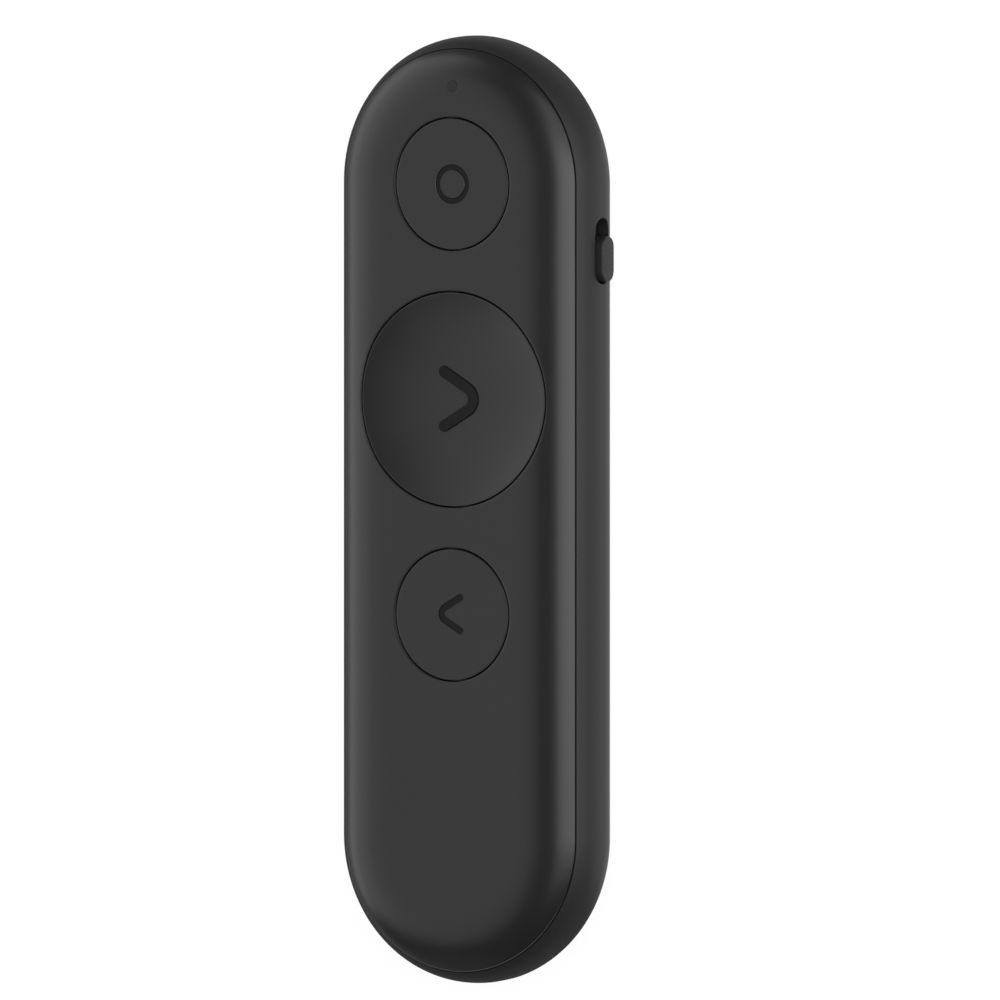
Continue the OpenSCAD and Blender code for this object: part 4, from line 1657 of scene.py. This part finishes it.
@dataclass
class Slide:
    """The power slide: a ribbed thumb piece on a plate, with two prongs for the switch's lever.

    Attributes:
        at: Place of the thumb piece's middle along the case, and its height.
        thumb: Length and width of the thumb piece.
        face_x: Outer face.
        plate: Box of the plate.
        prong_x: How far in the prongs reach.
        lever: Box of the lever between the prongs.
        lever_fit: Clearance round the lever.
        prong: Width of a prong.
        laps: How far the thumb piece and the prongs reach into the plate.
        round: Rounding of the thumb piece's edge.
        crown: How far its middle stands above its edge.
        pitch: Distance between its grooves.
        groove: Depth of a groove.
        groove_w: Half width of a groove.
        grooves: Number of grooves.
        groove_end: Distance from the edge at which the grooves start, and width of their fade.
        spacing: Greatest distance between columns.
        arc_steps: Columns round each end.
        rows: Rows of the rounded edge and of the face.
    """

    at: tuple[float, float]
    thumb: tuple[float, float]
    face_x: float
    plate: Box
    prong_x: float
    lever: Box
    lever_fit: float = 0.06
    prong: float = 0.7
    laps: tuple[float, float] = (0.2, 0.1)
    round: float = 0.15
    crown: float = 0.05
    pitch: float = 0.55
    groove: float = 0.07
    groove_w: float = 0.085
    grooves: int = 7
    groove_end: tuple[float, float] = (0.12, 0.25)
    spacing: float = 0.0392
    arc_steps: int = 32
    rows: tuple[int, int] = (8, 13)

    def face(self, flat: Array, inward: Array) -> Array:
        """Place of the thumb piece's face along X.

        Formula: the outer face, less a quarter round at the edge, less a soft groove at each
        multiple of the pitch, which fades out towards the edge.

        Args:
            flat: Places along and up, from the thumb piece's middle.
            inward: Distance of each from the outline.

        Returns:
            The places.
        """
        share = np.clip(inward / self.round, 0.0, 1.0)
        edge = self.round * (1 - np.sqrt(1 - (1 - share) ** 2))
        sag = self.crown * (flat[..., 1] / (self.thumb[1] / 2)) ** 2
        turns = flat[..., 0] / self.pitch
        near = np.abs(turns - np.round(turns)) * self.pitch
        ribbed = np.abs(flat[..., 0]) < (self.grooves / 2) * self.pitch
        rib = np.exp(-((near / self.groove_w) ** 2)) * ribbed
        start, width = self.groove_end
        fade = np.clip((inward - start) / width, 0.0, 1.0)
        return self.face_x - edge - sag - self.groove * rib * fade

    def build(self) -> Object:
        """Builds the slide as one closed solid.

        Returns:
            The finished object.
        """
        run, radius = (self.thumb[0] - self.thumb[1]) / 2, self.thumb[1] / 2
        loop = Loop.along(run, (), self.spacing, self.arc_steps)
        edge_rows, face_rows = self.rows
        inward = np.concatenate([
            fillet(self.round, edge_rows)[1],
            np.linspace(self.round, radius, face_rows + 1)[1:]])
        swept = loop.sweep(np.column_stack([radius - inward, inward]))
        flat = swept[..., 1::-1] * (1.0, -1.0)
        top = np.concatenate([self.face(flat, swept[..., 2])[..., None], flat + self.at], axis=-1)
        wall, foot = top[:, :1].copy(), top[:, :1].copy()
        foot[:, 0, 1:] = np.column_stack([loop.base, 0 * loop.base]) + self.at
        thumb_lap, prong_lap = self.laps
        wall[..., 0] = foot[..., 0] = self.plate.high[0] - thumb_lap
        thumb = ring_sheet(np.concatenate([foot, wall, top], axis=1)).obj(
            "power_slide_thumb", SLIDE_PLASTIC)
        cut(thumb, self.plate.solid("plate_tool"), "UNION")
        for way, edge in ((-1, self.lever.low[1]), (1, self.lever.high[1])):
            near = edge + way * self.lever_fit
            low_y, high_y = sorted((near, near + way * self.prong))
            prong = Box(
                np.array([self.prong_x, low_y, self.lever.low[2]]),
                np.array([self.plate.high[0] - prong_lap, high_y, self.lever.high[2]]))
            cut(thumb, prong.solid("prong_tool"), "UNION")
        return stands_for(thumb, Body.SLIDE, "power_slider")


# Stage
# -----


@dataclass(frozen=True)
class View:
    """A direction given by two angles, with the axes across and along it.

    Attributes:
        lean: Angle from straight above towards +X, in degrees.
        rise: Angle towards +Y, in degrees.
    """

    lean: float
    rise: float

    def axes(self) -> tuple[Vector, Vector, Vector]:
        """Works out the axes of the direction.

        Returns:
            The unit vectors to the right, up and back towards the eye.
        """
        lean, rise = np.radians(self.lean), np.radians(self.rise)
        back = Vector((np.sin(lean) * np.cos(rise), np.sin(rise), np.cos(lean) * np.cos(rise)))
        right = Vector((np.cos(lean), 0.0, -np.sin(lean)))
        return right, back.cross(right), back

    def place(self, thing: Object, target: Vector, distance: float) -> None:
        """Puts an object at a distance from a target, with its -Z axis towards it."""
        turn = Matrix(self.axes()).transposed().to_4x4()
        thing.matrix_world = Matrix.Translation(target + self.axes()[2] * distance) @ turn


@dataclass(frozen=True)
class Softbox:
    """A soft lamp that faces the object.

    Attributes:
        name: Its name.
        lean: Angle from straight above towards +X, in degrees.
        rise: Angle towards +Y, in degrees.
        width: Angle that it covers across the object, in degrees.
        length: Angle that it covers along the object, in degrees.
        radiance: Brightness of its face.
        distance: Distance from its target in metres.
        target: Point that it faces, across and up, in metres.
    """

    name: str
    lean: float
    rise: float
    width: float
    length: float
    radiance: float
    distance: float = 1.5
    target: tuple[float, float] = (0.0, 0.0)

    def build(self) -> None:
        """Adds the lamp. Its power is the radiance times pi times its area."""
        data = bpy.data.lights.new(self.name, "AREA")
        data.shape = "RECTANGLE"
        data.size, data.size_y = (
            2 * self.distance * np.tan(np.radians(angle / 2))
            for angle in (self.width, self.length))
        data.energy = self.radiance * np.pi * data.size * data.size_y
        lamp = linked(self.name, data)
        aim = Vector((self.target[0], 0.0, self.target[1]))
        View(self.lean, self.rise).place(lamp, aim, self.distance)
        lamp.visible_camera = False


@dataclass(frozen=True)
class Studio:
    """Floor, lamps and camera.

    Attributes:
        view: Direction of the camera.
        width: Width of the picture in metres.
        target: Point of the face under the picture's origin, in metres.
        offset: How far the picture's middle lies to the right of it and above it, in metres.
        distance: Distance of the camera in metres.
        clip: Nearest and farthest distance that the camera sees, in metres.
        ambient: Brightness of the surroundings.
        left: Far lamps: name, lean, rise, width, length and radiance.
        right: Lamps near the slide's flank: name, lean, width and radiance.
        bands: Bands of each near lamp: end of its name, rise, length and share of the radiance.
        near: Distance of the near lamps from their target, in metres.
        flank: Target of the near lamps, across and up, in metres.
        floor: Colour, half size, height in metres and roughness of the floor.
        glow: Brightness that the floor shows to the camera and in reflections.
        glow_share: How much of what the camera sees of the floor is that glow.
        card: Where the bright floor beside the slide's flank begins, and where it begins to fall
            off, across the case in metres.
        card_low: What is left of it beyond that.
        card_end: Where it ends along the case, to both sides, in metres.
        card_fade: Width over which a bright part of the floor comes in, in metres.
        spine: Distance from the case's middle to the middle of a round end, in metres.
        ring: Where the bright ring round the other flank and the upper end starts and ends.
        ring_share: How bright it is.
        far: Distance from which reflections show the whole floor bright, in metres.
        far_share: How bright it is there.
    """

    view: View = View(31.68, 2.53)
    width: float = 0.10204
    target: tuple[float, float, float] = (0.0, 0.0, 0.0118)
    offset: tuple[float, float] = (0.004885, 0.001131)
    distance: float = 0.6
    clip: tuple[float, float] = (0.01, 20.0)
    ambient: float = 0.048
    left: tuple[tuple, ...] = (
        ("left_inner", -32.5, -1, 25, 42, 0.77),
        ("left_top", -38, 35, 14, 30, 0.77),
        ("left_middle", -56, 14, 22, 72, 1.22),
        ("left_outer", -77, 10, 20, 62, 1.65),
        ("end_high", -65, 54, 50, 34, 0.1),
        ("end_low", -64, -54, 50, 36, 0.19),
    )
    right: tuple[tuple, ...] = (
        ("inner", 19, 16, 2.35), ("outer", 44, 34, 2.9), ("low", 72, 22, 2.75))
    bands: tuple[tuple, ...] = (
        ("", 6, 34, 1.0), ("_end", -19.5, 17, 0.36), ("_top", 36.5, 27, 0.36))
    near: float = 0.3
    flank: tuple[float, float] = (0.012, 0.008)
    floor: tuple[float, float, float, float] = (0.5, 6.0, -5e-5, 0.9)
    glow: float = 1.2
    glow_share: float = 0.79
    card: tuple[float, float] = (0.009, 0.028)
    card_low: float = 0.5
    card_end: float = 0.044
    card_fade: float = 0.006
    spine: float = 0.03335
    ring: tuple[float, float] = (0.0145, 0.03)
    ring_share: float = 0.24
    far: float = 0.25
    far_share: float = 0.5

    def camera(self) -> None:
        """Adds the camera: parallel rays, at the picture's angle."""
        data = bpy.data.cameras.new("camera")
        data.type = "ORTHO"
        data.ortho_scale = self.width
        data.clip_start, data.clip_end = self.clip
        right, up, _ = self.view.axes()
        camera = linked("camera", data)
        middle = Vector(self.target) + right * self.offset[0] + up * self.offset[1]
        self.view.place(camera, middle, self.distance)
        bpy.context.scene.camera = camera

    def lamps(self) -> None:
        """Adds the soft lamps: a far bank on the left, and a near one over the slide's flank, which
        dims towards both ends."""
        for settings in self.left:
            Softbox(*settings).build()
        for name, lean, width, radiance in self.right:
            for band, rise, length, share in self.bands:
                Softbox(
                    f"right_{name}{band}", lean, rise, width, length, radiance * share, self.near,
                    self.flank).build()

    def ground(self) -> None:
        """Adds the floor: pale and matt, and near white to the camera and in reflections."""
        colour, half, z, roughness = self.floor
        mesh = bpy.data.meshes.new("floor")
        corners = ((-half, -half, z), (half, -half, z), (half, half, z), (-half, half, z))
        mesh.from_pydata(corners, [], [(0, 1, 2, 3)])
        floor = linked("floor", mesh)
        material = bpy.data.materials.new("pale_floor")
        material.use_nodes = True
        tree = material.node_tree
        shader = fed(tree, tree.nodes["Principled BSDF"], {
            "Base Color": (colour, colour, colour, 1.0), "Roughness": roughness,
            "Specular IOR Level": 0.0})
        glow = node(tree, "Emission", {"Strength": self.glow})
        rays = node(tree, "LightPath", {}).outputs
        place = node(tree, "TexCoord", {}).outputs["Object"]
        mirrored = calc(tree, "MULTIPLY", rays["Is Glossy Ray"], self.mirror_share(tree, place))
        direct = calc(tree, "MAXIMUM", rays["Is Camera Ray"], rays["Is Transmission Ray"])
        seen = calc(tree, "MAXIMUM", calc(tree, "MULTIPLY", direct, self.glow_share), mirrored)
        mix = node(tree, "MixShader", {0: seen, 1: shader.outputs[0], 2: glow.outputs[0]})
        fed(tree, tree.nodes["Material Output"], {"Surface": mix.outputs[0]})
        mesh.materials.append(material)

    def mirror_share(self, tree: Tree, place: Socket) -> Socket:
        """Works out how much of the glow a reflection shows at a place of the floor.

        Args:
            tree: The floor's tree.
            place: The socket with the coordinates.

        Returns:
            The share's socket.
        """

        def inside(first: object, last: object) -> Socket:
            """Share that rises from 0 to 1 as the first value passes the last one."""
            past = calc(tree, "SUBTRACT", first, last)
            return calc(tree, "MULTIPLY", past, 1 / self.card_fade, clamp=True)

        def both(first: Socket, last: Socket) -> Socket:
            """Product of two shares."""
            return calc(tree, "MULTIPLY", first, last)

        x, y, _ = axes(tree, place)
        start, fall = self.card
        left_over = calc(
            tree, "MULTIPLY_ADD", inside(fall, x), 1 - self.card_low, self.card_low)
        card = both(
            both(inside(x, start), inside(self.card_end, calc(tree, "ABSOLUTE", y))), left_over)
        beyond = calc(tree, "MAXIMUM", calc(tree, "SUBTRACT", y, self.spine), 0.0)
        reach = calc(tree, "SQRT", calc(tree, "ADD", both(x, x), both(beyond, beyond)))
        ring = both(
            both(inside(reach, self.ring[0]), inside(self.ring[1], reach)),
            inside(y, -self.card_end))
        length = node(tree, "VectorMath", {0: place}, operation="LENGTH").outputs["Value"]
        far = calc(tree, "GREATER_THAN", length, self.far)
        dim = calc(
            tree, "MAXIMUM", calc(tree, "MULTIPLY", ring, self.ring_share),
            calc(tree, "MULTIPLY", far, self.far_share))
        return calc(tree, "MAXIMUM", card, dim)

    def build(self) -> None:
        """Adds everything round the object."""
        world = bpy.data.worlds.new("room")
        world.use_nodes = True
        tree = world.node_tree
        rays = node(tree, "LightPath", {}).outputs
        fed(tree, tree.nodes["Background"], {
            "Color": (1.0, 1.0, 1.0, 1.0),
            "Strength": calc(tree, "MAXIMUM", rays["Is Camera Ray"], self.ambient)})
        bpy.context.scene.world = world
        bpy.context.scene.view_settings.view_transform = "Standard"
        self.ground()
        self.lamps()
        self.camera()


# The object
# ----------


@dataclass
class Clicker:
    """The whole clicker: takes its places from the frame and builds each sub-assembly.

    Attributes:
        seam_over_board: Height of the parting line above the board.
        key_gap: Gap round a key.
        light: Radius of the light's window, its gap in the cover and the height of its shoulder.
        slot: Length and width of the power slide's slot.
        thumb: Length and width of its thumb piece.
        travel: Travel of the power slide.
        plate: Distance of its plate from the case's middle, and thickness of the plate.
        plate_fit: Clearance round the plate.
        socket_w: Width of the charging socket's mouth.
        socket_fit: How much wider and higher the housing's opening is.
        ring_line: Width of the ring's line.
        marks: Line and bend of the two chevrons.
        hollow: What differs on the key with the hollow.
    """

    seam_over_board: float = 3.8
    key_gap: float = 0.16
    light: tuple[float, float, float] = (0.6, 0.004, 9.37)
    slot: tuple[float, float] = (6.77, 2.6)
    thumb: tuple[float, float] = (4.65, 2.3)
    travel: float = 1.6
    plate: tuple[float, float] = (12.85, 0.7)
    plate_fit: float = 0.1
    socket_w: float = 8.94
    socket_fit: float = 0.3
    ring_line: float = 0.5
    marks: dict[str, tuple[float, float, int]] = field(
        default_factory=lambda: {"next": (1.15, 1.3, 1), "back": (0.7, 0.7, -1)})
    hollow: dict[str, float] = field(
        default_factory=lambda: {"dish": 1.0, "rows": 44, "sink": -0.16, "fit": 0.04})

    def __post_init__(self) -> None:
        """Works out the outer form and the parting line from the frame's boxes."""
        housing = Box.of("rear_housing")
        half_w = housing.size[0] / 2
        self.form = Form(half_w, housing.high[1] - half_w, Box.of("front_cover").high[2])
        self.seam = Box.of("main_board").high[2] + self.seam_over_board

    def build(self) -> list[Object]:
        """Builds all pieces in order.

        Returns:
            The finished pieces.
        """
        pieces = [*self.keys(), self.cover(), self.housing(), self.window(), self.slide()]
        self.dress_nodes()
        return pieces

    def key_radius(self, label: str) -> float:
        """Radius of a key's cap: its box less the flange."""
        return Box.of(f"{label}_button").size[0] / 2 - Key.flange[0]

    def keys(self) -> list[Object]:
        """Builds the three keys and their marks.

        Returns:
            The keys, each followed by its mark.
        """
        made = []
        for label, body in zip(KEY_LABELS, (Body.POINTER, Body.NEXT, Body.BACK)):
            key = Key(
                label, body, self.form, Box.of(f"{label}_button").middle[1],
                self.key_radius(label), Box.of(f"{label}_plunger").high[2],
                **(self.hollow if body is Body.NEXT else {}))
            mark = Box.of(f"{label}_mark")
            if label in self.marks:
                line, bend, facing = self.marks[label]
                made += key.with_stroke(
                    Stroke(mark.size[1], mark.size[0], line, bend, mark.middle[:2], facing))
            else:
                made += key.with_ring(mark.size[0] / 2, self.ring_line)
        return made

    def cover(self) -> Object:
        """Builds the cover.

        Returns:
            The finished object.
        """
        holes = tuple(
            Hole(Box.of(f"{label}_button").middle[1], self.key_radius(label) + self.key_gap)
            for label in reversed(KEY_LABELS))
        light = Hole(Box.of("status_window").middle[1], self.light[0] + self.light[1])
        return Cover(self.form, holes, light, self.seam).build()

    def housing(self) -> Object:
        """Builds the housing.

        Returns:
            The finished object.
        """
        plate, socket = Box.of("power_slider"), Box.of("usb_shell")
        fit, travel = np.full(2, self.plate_fit), np.array([self.travel, 0.0])
        return Housing(
            self.form, self.seam, (Box.of("slide_switch").middle[1], plate.middle[2]), self.slot,
            socket.middle[2], (self.socket_w + self.socket_fit, socket.size[2] + self.socket_fit),
            (plate.low[1:] - fit, plate.high[1:] + travel + fit)).build()

    def window(self) -> Object:
        """Builds the light's window.

        Returns:
            The finished object.
        """
        guide, (radius, _, shoulder) = Box.of("status_window"), self.light
        return Window(
            self.form, guide.middle[1], radius, guide.size[0] / 2, shoulder, guide.low[2]).build()

    def slide(self) -> Object:
        """Builds the power slide, which rests at the lower end of its travel.

        Returns:
            The finished object.
        """
        whole, (plate_x, plate_t) = Box.of("power_slider"), self.plate
        plate = Box(
            np.array([plate_x, *whole.low[1:]]), np.array([plate_x + plate_t, *whole.high[1:]]))
        at = (Box.of("slide_switch").middle[1] - self.travel / 2, whole.middle[2])
        return Slide(
            at, self.thumb, whole.high[0], plate, whole.low[0], Box.of("slide_lever")).build()

    def dress_nodes(self) -> None:
        """Gives every node that stays its finish."""
        for finish, names in FRAME_FINISHES.items():
            for name in names:
                inner = bpy.data.objects[name]
                if not inner.material_slots:
                    inner.data.materials.append(None)
                for place in inner.material_slots:
                    place.material = finish.material()


def main() -> None:
    """Builds the scene and reports each piece."""
    logging.basicConfig(level=logging.INFO, format="%(name)s: %(message)s")
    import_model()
    Studio().build()
    for piece in Clicker().build():
        LOG.info("%s: %d faces", piece.name, len(piece.data.polygons))


if __name__ == "__main__":
    main()
